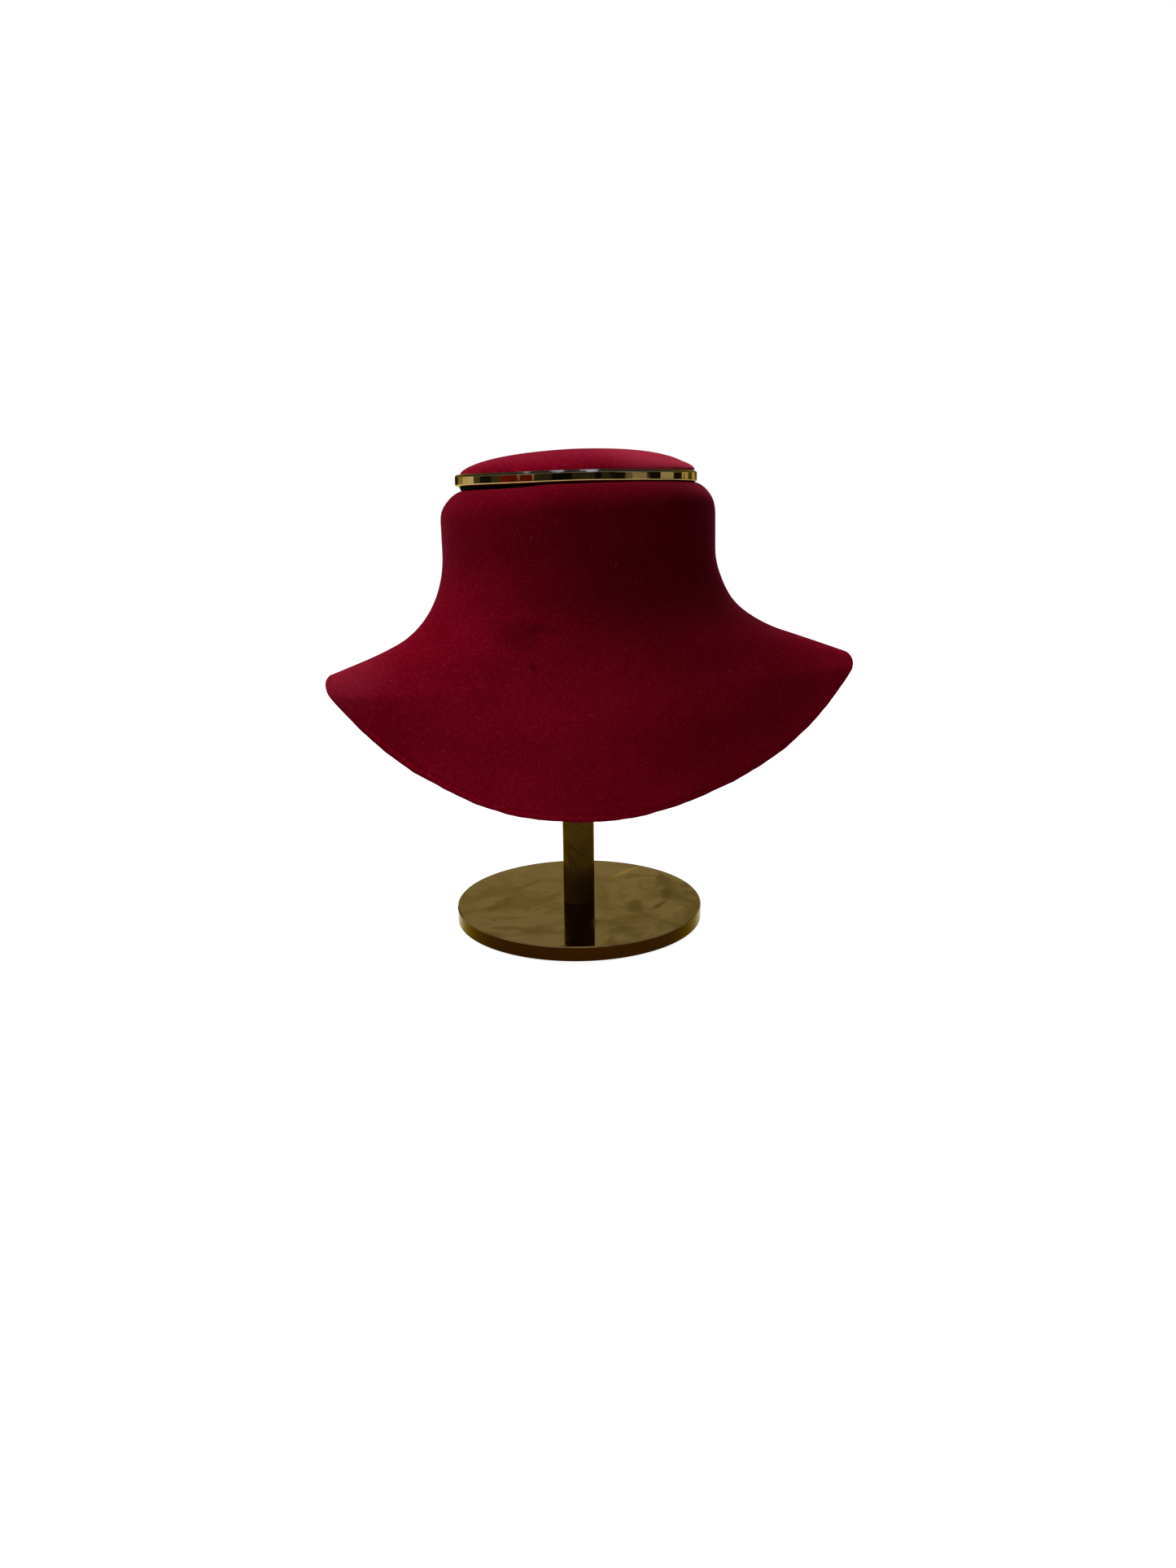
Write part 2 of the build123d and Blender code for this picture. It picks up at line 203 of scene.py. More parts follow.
def tip_fillet():
    """Centre of the tip's rounding and the angle on the bib's circle where it starts."""
    reach = BIB_RADIUS - TIP_RADIUS
    offset = TIP_RADIUS - ARC_WIDTH * math.sin(SHOULDER_SLOPE)
    offset -= (ARC_HEIGHT - BIB_CENTRE) * math.cos(SHOULDER_SLOPE)
    angle = math.acos(offset / reach) - SHOULDER_SLOPE
    return (reach * math.sin(angle), BIB_CENTRE - reach * math.cos(angle)), angle


def smooth_step(low, high, value):
    t = min(1.0, max(0.0, (value - low) / (high - low)))
    return t * t * (3 - 2 * t)


def bell(value, middle, spread):
    return math.exp(-((value - middle) / spread) ** 2)


def hand_made(angle):
    """How far the bib's edge falls short of its circle, as covering stretched by hand does."""
    return sum(depth * bell(angle, middle, spread) for depth, middle, spread in UNEVEN_EDGE)


def outline():
    """Points (x, z, normal x, normal z) down the right side, from the rim to the lowest point."""
    centre, circle_angle = tip_fillet()
    side = RIM_START - SHOULDER_START
    points = [(NECK_HALF_WIDTH, RIM_START - side * step / SIDE_STEPS, 1.0, 0.0)
              for step in range(SIDE_STEPS)]
    for step in range(ARC_STEPS):
        turn = ARC_TURN * step / ARC_STEPS
        points.append((NECK_HALF_WIDTH + SHOULDER_RADIUS * (1 - math.cos(turn)),
                       SHOULDER_START - SHOULDER_RADIUS * math.sin(turn),
                       math.cos(turn), math.sin(turn)))
    slope_x, slope_z = math.sin(SHOULDER_SLOPE), math.cos(SHOULDER_SLOPE)
    tip_x = centre[0] + TIP_RADIUS * slope_x
    for step in range(SLOPE_STEPS):
        x = ARC_WIDTH + (tip_x - ARC_WIDTH) * step / SLOPE_STEPS
        z = ARC_HEIGHT - (x - ARC_WIDTH) * math.tan(SHOULDER_SLOPE)
        points.append((x, z, slope_x, slope_z))
    start = math.pi / 2 - SHOULDER_SLOPE
    end = circle_angle - math.pi / 2
    for step in range(TIP_STEPS):
        turn = start + (end - start) * step / TIP_STEPS
        points.append((centre[0] + TIP_RADIUS * math.cos(turn),
                       centre[1] + TIP_RADIUS * math.sin(turn), math.cos(turn), math.sin(turn)))
    for step in range(BIB_STEPS + 1):
        angle = circle_angle * (1 - step / BIB_STEPS)
        points.append((BIB_RADIUS * math.sin(angle), BIB_CENTRE - BIB_RADIUS * math.cos(angle),
                       math.sin(angle), -math.cos(angle)))
    return points


# ---- making meshes ----

def shaded_object(name, mesh, material, angle=None):
    """An object at the origin with one material, smooth apart from edges sharper than an angle."""
    obj = bpy.data.objects.new(name, mesh)
    bpy.context.scene.collection.objects.link(obj)
    mesh.materials.clear()
    mesh.materials.append(material)
    mesh.shade_smooth()
    if angle is not None:
        mesh.set_sharp_from_angle(angle=angle)
    return obj


def loops_mesh(name, loops, close_first=False, close_last=False):
    """A mesh through closed loops of points in millimetres, with faces that point outwards."""
    mesh = bmesh.new()
    rows = [[mesh.verts.new(Vector(point) * MM) for point in loop] for loop in loops]
    count = len(rows[0])
    for upper, lower in zip(rows, rows[1:]):
        for i in range(count):
            j = (i + 1) % count
            mesh.faces.new((upper[i], lower[i], lower[j], upper[j]))
    if close_first:
        mesh.faces.new(rows[0])
    if close_last:
        mesh.faces.new(rows[-1][::-1])
    bmesh.ops.remove_doubles(mesh, verts=mesh.verts, dist=MERGE_DISTANCE * MM)
    bmesh.ops.dissolve_degenerate(mesh, edges=mesh.edges, dist=MERGE_DISTANCE * MM / 2)
    bmesh.ops.recalc_face_normals(mesh, faces=mesh.faces)
    data = bpy.data.meshes.new(name)
    mesh.to_mesh(data)
    mesh.free()
    return data


# ---- the suede-covered body ----

def neck_tilt(x, y, z):
    """Pull a point of the covering out of true, as the values above say."""
    side = x / NECK_HALF_WIDTH
    rim = smooth_step(RIM_DRAWN_FROM, NECK_TOP, z) * side * abs(side)
    shoulder = bell(z, *SHOULDER_HOLLOW) * smooth_step(*SHOULDER_ACROSS, x)
    wing = smooth_step(*WING_ACROSS, -x) * smooth_step(*WING_UP, z)
    crown = CROWN_BASE + CROWN_RISE * smooth_step(*CROWN_RISES, x)
    crown -= CROWN_FALL * smooth_step(*CROWN_FALLS, x)
    lift = (LEFT_LEAN if side < 0 else RIGHT_LEAN) * side + crown
    return (x - RIM_DRAWN * rim - SHOULDER_DRAWN * shoulder, y,
            z + lift * smooth_step(LEAN_FROM, NECK_TOP, z) + WING_LIFT * wing)


def rim_loops():
    """The rounded rim at the neck's top, from the flat under the cap outwards."""
    loops = []
    for angle in RIM_ANGLES:
        turn = math.radians(angle)
        z = RIM_START + RIM_RADIUS * math.sin(turn)
        shrink = RIM_RADIUS * (1 - math.cos(turn))
        half_width = NECK_HALF_WIDTH - shrink
        loops.append(level_loop(half_width, z, half_width, z, 0.0, shrink=shrink))
    return loops


def uneven_edge(x, y, z):
    """Move a point of the covering inwards where the bib's edge is uneven."""
    reach = math.hypot(x, BIB_CENTRE - z)
    angle = math.atan2(x, BIB_CENTRE - z)
    if abs(angle) > tip_fillet()[1]:
        return x, y, z
    inner, outer = (BIB_RADIUS - depth for depth in UNEVEN_DEPTH)
    shrink = 1 - hand_made(angle) * smooth_step(inner, outer, reach) / max(reach, 1.0)
    return x * shrink, y, BIB_CENTRE - (BIB_CENTRE - z) * shrink


def level_loop(x_front, z_front, x_side, z_side, fold, back_of=neck_back_y, normal=(1.0, 0.0),
               shrink=0.0):
    """One closed loop: the front from the left, the folded right edge, the back, the left edge."""
    across = [-x_front * math.cos(math.pi * step / COLUMNS) for step in range(COLUMNS + 1)]
    front = [(x, front_y(x, z_front, shrink), z_front) for x in across]
    extra = (shrink,) if shrink else ()
    back = [(-x, back_of(-x, z_front, *extra), z_front) for x in across]
    y_front, y_back = front[-1][1], back[0][1]
    edge = []
    for step in range(1, FOLD_STEPS):
        turn = math.pi / 2 * step / FOLD_STEPS
        inward = fold * (1 - math.sin(turn))
        edge.append((x_side - normal[0] * inward, y_front + (1 - math.cos(turn)) * fold,
                     z_side - normal[1] * inward))
    for step in range(1, FOLD_STEPS):
        turn = math.pi / 2 * step / FOLD_STEPS
        inward = fold * (1 - math.cos(turn))
        edge.append((x_side - normal[0] * inward, y_back - (1 - math.sin(turn)) * fold,
                     z_side - normal[1] * inward))
    left = [(-x, y, z) for x, y, z in edge[::-1]]
    return [uneven_edge(*point) for point in front + edge + back + left]


def body_loops(edge_inset, fold_radius):
    """Loops of the whole body; its lower edge is set in by edge_inset to make room for the roll."""
    loops = rim_loops()
    tip_top = tip_fillet()[0][1] + TIP_RADIUS
    room_from, room_full = (tip_top - share * TIP_RADIUS for share in ROOM_TAPER)
    stepped = False
    for x, z, *normal in outline():
        room = edge_inset * smooth_step(room_from, room_full, z)
        x_side, z_side = max(0.0, x - normal[0] * room), z - normal[1] * room
        back_of = neck_back_y if z >= NECK_UNDERSIDE else bib_back_y
        thickness = max(0.0, back_of(x_side, z_side) - front_y(x_side, z_side))
        fold = min(fold_radius, FOLD_SHARE * thickness)
        x_front, z_front = max(0.0, x_side - normal[0] * fold), z_side - normal[1] * fold
        if z_front < NECK_UNDERSIDE and not stepped:
            stepped = True
            for drop, of in ((0.0, neck_back_y), (STEP_DEPTH, bib_back_y)):
                level = NECK_UNDERSIDE - drop
                loops.append(level_loop(x_front, level, x_side, z_side, fold, of, normal))
            continue
        back_of = neck_back_y if z_front >= NECK_UNDERSIDE else bib_back_y
        loops.append(level_loop(x_front, z_front, x_side, z_side, fold, back_of, normal))
    return loops


def squared(value):
    """Fill a round section out towards a rectangle."""
    return math.copysign(abs(value) ** ROLL_SQUARENESS, value)


def roll_ripple(angle):
    """Small waves along the roll, in millimetres."""
    return (0.13 * math.sin(27 * angle + 0.6) * math.sin(9 * angle)
            + 0.07 * math.sin(61 * angle + 2.1) + 0.04 * math.sin(127 * angle))


def roll_loops(width, overlap, proud):
    """Sections of the rolled edge round the bib, from the left tip to the right tip."""
    reach = tip_fillet()[1]
    middle = Vector((0.0, 0.0, BIB_CENTRE))
    loops = []
    for step in range(ROLL_STEPS + 1):
        share = -1 + 2 * step / ROLL_STEPS
        angle = reach * share
        taper = smooth_step(*ROLL_TAPER, 1 - abs(share))
        wide = ROLL_TIP_WIDTH + (width - ROLL_TIP_WIDTH) * taper
        radial = Vector((math.sin(angle), 0.0, -math.cos(angle)))
        inner = middle + radial * (BIB_RADIUS - wide - overlap)
        y_front = front_y(inner.x, inner.z) - proud * taper
        y_back = bib_back_y(inner.x, min(inner.z, NECK_UNDERSIDE))
        wing_back = neck_back_y(inner.x, max(inner.z, NECK_UNDERSIDE))
        winged = smooth_step(NECK_UNDERSIDE - ROLL_BLEND, NECK_UNDERSIDE, inner.z)
        y_back += (wing_back - y_back) * winged
        y_back += proud * taper
        loop = []
        for i in range(ROLL_POINTS):
            turn = 2 * math.pi * i / ROLL_POINTS
            radius = BIB_RADIUS - hand_made(angle) - wide - overlap
            uneven = wide + overlap + taper * roll_ripple(angle)
            point = middle + radial * (radius + uneven * (1 + squared(math.cos(turn))) / 2)
            point.y = (y_front + y_back) / 2 + (y_back - y_front) / 2 * squared(math.sin(turn))
            loop.append(tuple(point))
        loops.append(loop)
    return loops


# ---- the cap ----

CAP_LOW, CAP_HIGH = (Vector(corner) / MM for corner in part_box("cap_cover"))
CAP_CENTRE = (CAP_LOW + CAP_HIGH) / 2
RING_LOW, RING_HIGH = (Vector(corner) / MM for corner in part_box("cap_ring"))
CAP_WIDER = 0.65        # the cap as fitted is this much wider than its solid on each side,
CAP_ASIDE = 0.25        # sits this far to the right of the middle,
CAP_RISE = 0.3          # a little high at the right,
CAP_DROP = 0.9          # and drops by this much to its left end
CAP_DROP_SPAN = (-45.0, 0.0)
CAP_SEAT = 0.5          # how far below the ring's top the crown starts
SKIRT_ROWS = (0.6, 1.6)
CAP_BULGE = 1.4         # how far the cushion stands out over the ring at its right end
BULGE_STARTS, BULGE_ENDS = (0.9, 0.99), (0.997, 1.0)    # shares of the cushion's reach
CAP_FULLNESS, CAP_FULLER = 2.08, 0.45   # power of the crown's section, and its growth to the right
CAP_LIFT, CAP_SWELL = 0.5, 0.7          # the whole crown is lifted, and swells to the right
PUCKERS, PUCKER_DEPTH = 23, 0.10
PUCKERED = (0.86, 0.99)
PLINTH_INSET = 0.7      # the plinth stands in from the ring's side,
PLINTH_FOOT = 0.965     # narrows to this share at its foot,
PLINTH_SUNK = 1.2       # is let this far into the covering
PLINTH_TUCKED = 0.6     # and reaches this far up behind the ring


def cap_lean(x):
    """How much higher than their solids the cap and its ring sit: less at the left end."""
    return CAP_RISE - CAP_DROP * (1 - smooth_step(*CAP_DROP_SPAN, x))


def plinth_loops():
    """The dark plinth between the covering's rim and the ring."""
    half_width = (RING_HIGH.x - RING_LOW.x) / 2 - PLINTH_INSET
    half_depth = (RING_HIGH.y - RING_LOW.y) / 2 - PLINTH_INSET
    foot, top = [], []
    for i in range(OVAL_COLUMNS):
        turn = 2 * math.pi * i / OVAL_COLUMNS
        x, y = half_width * math.cos(turn), half_depth * math.sin(turn)
        low = neck_tilt(x, CAP_CENTRE.y + y, NECK_TOP)[2] - PLINTH_SUNK
        foot.append((x * PLINTH_FOOT, CAP_CENTRE.y + y * PLINTH_FOOT, low))
        top.append((x, CAP_CENTRE.y + y, RING_LOW.z + cap_lean(x) + PLINTH_TUCKED))
    return [foot, top]


def cap_loops(crown, skirt_drop):
    """A crowned oval cushion: fuller on its right, and drawn in where the ring holds it."""
    half_width = (CAP_HIGH.x - CAP_LOW.x) / 2 + CAP_WIDER
    half_depth = (CAP_HIGH.y - CAP_LOW.y) / 2
    base = RING_HIGH.z - CAP_SEAT
    loops = []
    for row in range(CAP_ROWS + 1):
        reach = math.sin(math.pi / 2 * row / CAP_ROWS)
        over_ring = smooth_step(*BULGE_STARTS, reach) * (1 - smooth_step(*BULGE_ENDS, reach))
        loop = []
        for i in range(OVAL_COLUMNS):
            turn = -2 * math.pi * i / OVAL_COLUMNS
            right = math.cos(turn)
            bulge = over_ring * CAP_BULGE * max(0.0, right) ** 3
            fullness = CAP_FULLNESS + CAP_FULLER * right
            height = crown * math.sqrt(max(0.0, 1 - reach ** fullness))
            pucker = PUCKER_DEPTH * math.sin(PUCKERS * turn) * smooth_step(*PUCKERED, reach)
            x = CAP_CENTRE.x + CAP_ASIDE + half_width * reach * right + bulge
            y = CAP_CENTRE.y + half_depth * reach * math.sin(turn)
            lean = CAP_LIFT + CAP_SWELL * (1 - reach * reach) * reach * right
            lean += (cap_lean(x) - CAP_LIFT) * reach ** 4
            loop.append((x, y, base + height + lean + pucker))
        loops.append(loop)
    for drop in (*SKIRT_ROWS, skirt_drop):
        loops.append([(x, y, base - drop + cap_lean(x)) for x, y, _ in loops[CAP_ROWS]])
    loops.append([(CAP_CENTRE.x + (x - CAP_CENTRE.x) / 2, CAP_CENTRE.y + (y - CAP_CENTRE.y) / 2, z)
                  for x, y, z in loops[-1]])
    return loops


# ---- node trees ----

NUMBER, WHOLE, VECTOR = "NodeSocketFloat", "NodeSocketInt", "NodeSocketVector"
COLOUR, GEOMETRY, MATERIAL = "NodeSocketColor", "NodeSocketGeometry", "NodeSocketMaterial"
NODES_IN_A_ROW, NODE_SPACING = 8, 240


def fill(tree, made, inputs):
    """Link each named input to the socket given for it, or set it to the value given."""
    for name, value in inputs.items():
        socket = made.inputs[name]
        if isinstance(value, bpy.types.NodeSocket):
            tree.links.new(value, socket)
        elif socket.type == "RGBA" and len(value) == 3:
            socket.default_value = (*value, 1)
        else:
            socket.default_value = value
    return made


def node(tree, kind, inputs=None, **settings):
    """Add a node with its settings, and then link or set its inputs."""
    row, column = divmod(len(tree.nodes), NODES_IN_A_ROW)
    made = tree.nodes.new(kind)
    made.location = (NODE_SPACING * (column - NODES_IN_A_ROW), -NODE_SPACING * row)
    for name, value in settings.items():
        setattr(made, name, value)
    return fill(tree, made, inputs or {})


def maths(tree, operation, *values):
    inputs = dict(enumerate(values))
    return node(tree, "ShaderNodeMath", inputs, operation=operation).outputs[0]


def vector_maths(tree, operation, *values):
    inputs = dict(enumerate(values))
    return node(tree, "ShaderNodeVectorMath", inputs, operation=operation).outputs[0]


def axes(tree, vector):
    return node(tree, "ShaderNodeSeparateXYZ", {0: vector}).outputs


def map_range(tree, value, low, high, to_low=0.0, to_high=1.0, smooth=False):
    made = node(tree, "ShaderNodeMapRange", interpolation_type="SMOOTHSTEP" if smooth else "LINEAR",
                inputs={"Value": value, "From Min": low, "From Max": high, "To Min": to_low,
                        "To Max": to_high})
    return made.outputs["Result"]


def mix_colour(tree, share, first, second):
    inputs = {"Factor": share, "A": first, "B": second}
    return node(tree, "ShaderNodeMix", inputs, data_type="RGBA").outputs["Result"]


def noise(tree, vector, scale, detail, roughness=0.5, distortion=0.0, output="Fac"):
    made = node(tree, "ShaderNodeTexNoise",
                {"Vector": vector, "Scale": scale, "Detail": detail, "Roughness": roughness,
                 "Distortion": distortion})
    return made.outputs[output]


def object_place(tree):
    return node(tree, "ShaderNodeTexCoord").outputs["Object"]


def new_group(name, kind, inputs, outputs):
    """A node group; an input is given as name, type and perhaps default, an output without one."""
    tree = bpy.data.node_groups.new(name, kind)
    for label, socket_type, *default in inputs:
        socket = tree.interface.new_socket(label, in_out="INPUT", socket_type=socket_type)
        if default:
            socket.default_value = (*default[0], 1) if socket_type == COLOUR else default[0]
    for label, socket_type in outputs:
        tree.interface.new_socket(label, in_out="OUTPUT", socket_type=socket_type)
    return tree, node(tree, "NodeGroupInput").outputs


def run_geometry_tree(name, tree, mesh, values):
    """Apply a geometry tree with the given named inputs and return the result as a plain object."""
    host = bpy.data.objects.new(name, mesh)
    bpy.context.scene.collection.objects.link(host)
    modifier = host.modifiers.new(name, "NODES")
    modifier.node_group = tree
    for item in tree.interface.items_tree:
        if item.item_type == "SOCKET" and item.in_out == "INPUT" and item.name in values:
            modifier[item.identifier] = values[item.name]
    graph = bpy.context.evaluated_depsgraph_get()
    result = bpy.data.meshes.new_from_object(host.evaluated_get(graph), depsgraph=graph)
    host.modifiers.clear()
    host.data = result
    result.name = name
    return host


def finish_tree(tree, given, geometry):
    """End a geometry tree in Realize Instances and Set Material."""
    real = node(tree, "GeometryNodeRealizeInstances", {"Geometry": geometry})
    paint = node(tree, "GeometryNodeSetMaterial",
                 {"Geometry": real.outputs["Geometry"], "Material": given["Material"]})
    node(tree, "NodeGroupOutput", {"Geometry": paint.outputs["Geometry"]})
    return tree


def ring_tree():
    """An oval ring: a rounded bar swept along an oval path."""
    tree, given = new_group("oval_ring", "GeometryNodeTree", (
        ("Geometry", GEOMETRY), ("Half Width", NUMBER, 0.04), ("Half Depth", NUMBER, 0.03),
        ("Height", NUMBER, 0.004), ("Wall", NUMBER, 0.002), ("Edge Radius", NUMBER, 0.0004),
        ("Bevel Height", NUMBER, 0.0008), ("Bevel Depth", NUMBER, 0.0002), ("Centre", VECTOR),
        ("Material", MATERIAL)), (("Geometry", GEOMETRY),))
    circle = node(tree, "GeometryNodeCurvePrimitiveCircle", {"Resolution": 256, "Radius": 1.0})
    mean_width, mean_depth = (
        maths(tree, "MULTIPLY_ADD", given["Wall"], -0.5, given[half])
        for half in ("Half Width", "Half Depth"))
    scale = node(tree, "ShaderNodeCombineXYZ", {"X": mean_width, "Y": mean_depth, "Z": 1.0})
    path = node(tree, "GeometryNodeTransform",
                {"Geometry": circle.outputs["Curve"], "Translation": given["Centre"],
                 "Scale": scale.outputs[0]})
    upright = node(tree, "GeometryNodeSetCurveNormal",
                   {"Curve": path.outputs["Geometry"]}, mode="Z_UP")
    bar = node(tree, "GeometryNodeCurvePrimitiveQuadrilateral",
               {"Width": given["Wall"], "Height": given["Height"]})
    rounded = node(tree, "GeometryNodeFilletCurve",
                   {"Curve": bar.outputs["Curve"], "Count": 6, "Radius": given["Edge Radius"]},
                   mode="POLY")
    sweep = node(tree, "GeometryNodeCurveToMesh",
                 {"Curve": upright.outputs["Curve"],
                  "Profile Curve": bevelled_profile(tree, given, rounded.outputs["Curve"])})
    return finish_tree(tree, given, sweep.outputs["Mesh"])


def bevelled_profile(tree, given, profile):
    """The bar's section with its lower outer side leaning in a little."""
    dense = node(tree, "GeometryNodeResampleCurve", {"Curve": profile, "Count": 72})
    place = node(tree, "GeometryNodeInputPosition")
    across = axes(tree, place.outputs["Position"])
    bottom = maths(tree, "MULTIPLY", given["Height"], -0.5)
    top = maths(tree, "ADD", bottom, given["Bevel Height"])
    lean = map_range(tree, across["Y"], bottom, top, given["Bevel Depth"], 0.0)
    outer = node(tree, "FunctionNodeCompare", {"A": across["X"]}, operation="GREATER_THAN")
    shift = maths(tree, "MULTIPLY", lean, outer.outputs["Result"])
    back = maths(tree, "MULTIPLY", shift, -1.0)
    offset = node(tree, "ShaderNodeCombineXYZ", {"X": back})
    moved = node(tree, "GeometryNodeSetPosition",
                 {"Geometry": dense.outputs["Curve"], "Offset": offset.outputs[0]})
    return moved.outputs["Geometry"]


def lint_tree():
    """Short bent fibres scattered over a covering and lying along it."""
    tree, given = new_group("lint", "GeometryNodeTree", (
        ("Geometry", GEOMETRY), ("Density", NUMBER, 100.0), ("Length", NUMBER, 0.001),
        ("Thickness", NUMBER, 0.00004), ("Seed", WHOLE, 1), ("Material", MATERIAL)),
        (("Geometry", GEOMETRY),))
    spread = node(tree, "GeometryNodeDistributePointsOnFaces",
                  {"Mesh": given["Geometry"], "Density": given["Density"],
                   "Seed": given["Seed"]}).outputs
    fibre = node(tree, "GeometryNodeCurvePrimitiveBezierSegment",
                 {"Resolution": 4, "Start": (-0.5, 0, 0.02), "Start Handle": (-0.2, 0.25, 0.1),
                  "End Handle": (0.2, -0.2, 0.12), "End": (0.5, 0.1, 0.02)})
    length = node(tree, "ShaderNodeCombineXYZ", {axis: given["Length"] for axis in "XYZ"})
    sized = node(tree, "GeometryNodeTransform",
                 {"Geometry": fibre.outputs["Curve"], "Scale": length.outputs[0]})
    section = node(tree, "GeometryNodeCurvePrimitiveCircle",
                   {"Resolution": 4, "Radius": given["Thickness"]})
    strand = node(tree, "GeometryNodeCurveToMesh",
                  {"Curve": sized.outputs["Geometry"], "Profile Curve": section.outputs["Curve"],
                   "Fill Caps": True})
    spin = node(tree, "FunctionNodeRandomValue",
                {3: 2 * math.pi, "Seed": given["Seed"]}, data_type="FLOAT")
    about = node(tree, "ShaderNodeCombineXYZ", {"Z": spin.outputs[1]})
    turn = node(tree, "FunctionNodeRotateRotation",
                {"Rotation": spread["Rotation"], "Rotate By": about.outputs[0]},
                rotation_space="LOCAL")
    placed = node(tree, "GeometryNodeInstanceOnPoints",
                  {"Points": spread["Points"], "Instance": strand.outputs["Mesh"],
                   "Rotation": turn.outputs["Rotation"]})
    return finish_tree(tree, given, placed.outputs["Instances"])


# ---- shader groups ----

NAP_TIPS = (0.40, 0.022, 0.045)     # the fibres' tips, where they catch the light
SHEEN_TINT = (1.0, 0.10, 0.20)
# Painted light and shade along each axis: between which places in metres, and the tone at shares
# of the way.
PAINTED_LIGHT_TONES = {
    "Z": (0.055, 0.170, ((0.0, 2.2), (0.2, 1.78), (0.42, 1.03), (0.62, 0.71), (0.8, 0.65),
                         (1.0, 0.62))),
    "X": (-0.11, 0.11, ((0.0, 1.22), (0.25, 1.22), (0.5, 0.93), (0.72, 0.7), (0.88, 1.0),
                        (1.0, 1.6))),
}


def nap_group():
    """Brushed nap: cloudy light and dark patches, a fine fibre grain, and a height for bump."""
    tree, given = new_group("nap", "ShaderNodeTree", (
        ("Base", COLOUR, (0.2, 0.0, 0.02)), ("Lit", COLOUR, (0.4, 0, 0.05)),
        ("Dark", COLOUR, (0.08, 0.0, 0.01)), ("Cloud Size", NUMBER, 60.0),
        ("Cloud Amount", NUMBER, 0.5), ("Grain", NUMBER, 0.5)),
        (("Color", COLOUR), ("Height", NUMBER)))
    place = object_place(tree)
    clouds = noise(tree, place, given["Cloud Size"], 4.0, 0.6, 0.6)
    grain = noise(tree, place, 1150.0, 3.0, 0.7)
    fibre = noise(tree, place, 800.0, 5.0, 0.65, 1.2)
    cloudy = map_range(tree, clouds, 0.36, 0.66)
    brushed = maths(tree, "MULTIPLY", cloudy, given["Cloud Amount"])
    colour = mix_colour(tree, brushed, given["Base"], given["Lit"])
    flecks = map_range(tree, fibre, 0.40, 0.68)
    flecked = maths(tree, "MULTIPLY", flecks, given["Grain"])
    colour = mix_colour(tree, flecked, colour, given["Dark"])
    tips = map_range(tree, grain, 0.52, 1.5)
    colour = mix_colour(tree, tips, colour, NAP_TIPS)
    height = maths(tree, "MULTIPLY_ADD", fibre, 0.7, grain)
    node(tree, "NodeGroupOutput", {"Color": colour, "Height": height})
    return tree


def painted_light_group():
    """Painted light and shade: darker up the neck and right of the middle, paler over the left wing,
    the right tip and down the bib.
    """
    tree, given = new_group("brushed_tone", "ShaderNodeTree",
                            (("Color", COLOUR, (0.2, 0.0, 0.02)),), (("Color", COLOUR),))
    place = axes(tree, object_place(tree))
    colour = given["Color"]
    for axis, (low, high, tones) in PAINTED_LIGHT_TONES.items():
        share = map_range(tree, place[axis], low, high)
        ramp = node(tree, "ShaderNodeFloatCurve", {"Value": share})
        points = ramp.mapping.curves[0].points
        ramp.mapping.clip_max_y = 2.0
        points[0].location = (tones[0][0], tones[0][1] / 2)
        points[1].location = (tones[-1][0], tones[-1][1] / 2)
        for position, tone in tones[1:-1]:
            points.new(position, tone / 2)
        ramp.mapping.update()
        double = maths(tree, "MULTIPLY", ramp.outputs[0], 2.0)
        colour = node(tree, "ShaderNodeVectorMath",
                      {0: colour, "Scale": double}, operation="SCALE").outputs[0]
    node(tree, "NodeGroupOutput", {"Color": colour})
    return tree


def smudge_group():
    """Soft smudges and fine stretched scratches, as a tint, a roughness and a height."""
    tree, given = new_group("smudges", "ShaderNodeTree", (
        ("Base", COLOUR, (0.5, 0.4, 0.2)), ("Worn", COLOUR, (0.4, 0.3, 0.1)),
        ("Roughness", NUMBER, 0.3), ("Spread", NUMBER, 0.1), ("Smudge Size", NUMBER, 40.0),
        ("Scratch Stretch", VECTOR, (1, 1, 1))),
        (("Color", COLOUR), ("Roughness", NUMBER), ("Height", NUMBER)))
    place = object_place(tree)
    smudge = noise(tree, place, given["Smudge Size"], 5.0, 0.62, 1.4)
    stretched = vector_maths(tree, "MULTIPLY", place, given["Scratch Stretch"])
    scratch = noise(tree, stretched, 900.0, 3.0)
    mask = map_range(tree, smudge, 0.44, 0.58)
    tint = mix_colour(tree, mask, given["Base"], given["Worn"])
    rough = maths(tree, "MULTIPLY_ADD", mask, given["Spread"], given["Roughness"])
    node(tree, "NodeGroupOutput", {"Color": tint, "Roughness": rough, "Height": scratch})
    return tree


def ragged(tree, vector, scale, amount):
    """Shift a place about by noise, so that what is drawn with it gets uneven edges."""
    shift = noise(tree, vector, scale, 4.0, output="Color")
    centred = vector_maths(tree, "SUBTRACT", shift, (0.5, 0.5, 0.5))
    return vector_maths(tree, "MULTIPLY_ADD", centred, (amount,) * 3, vector)


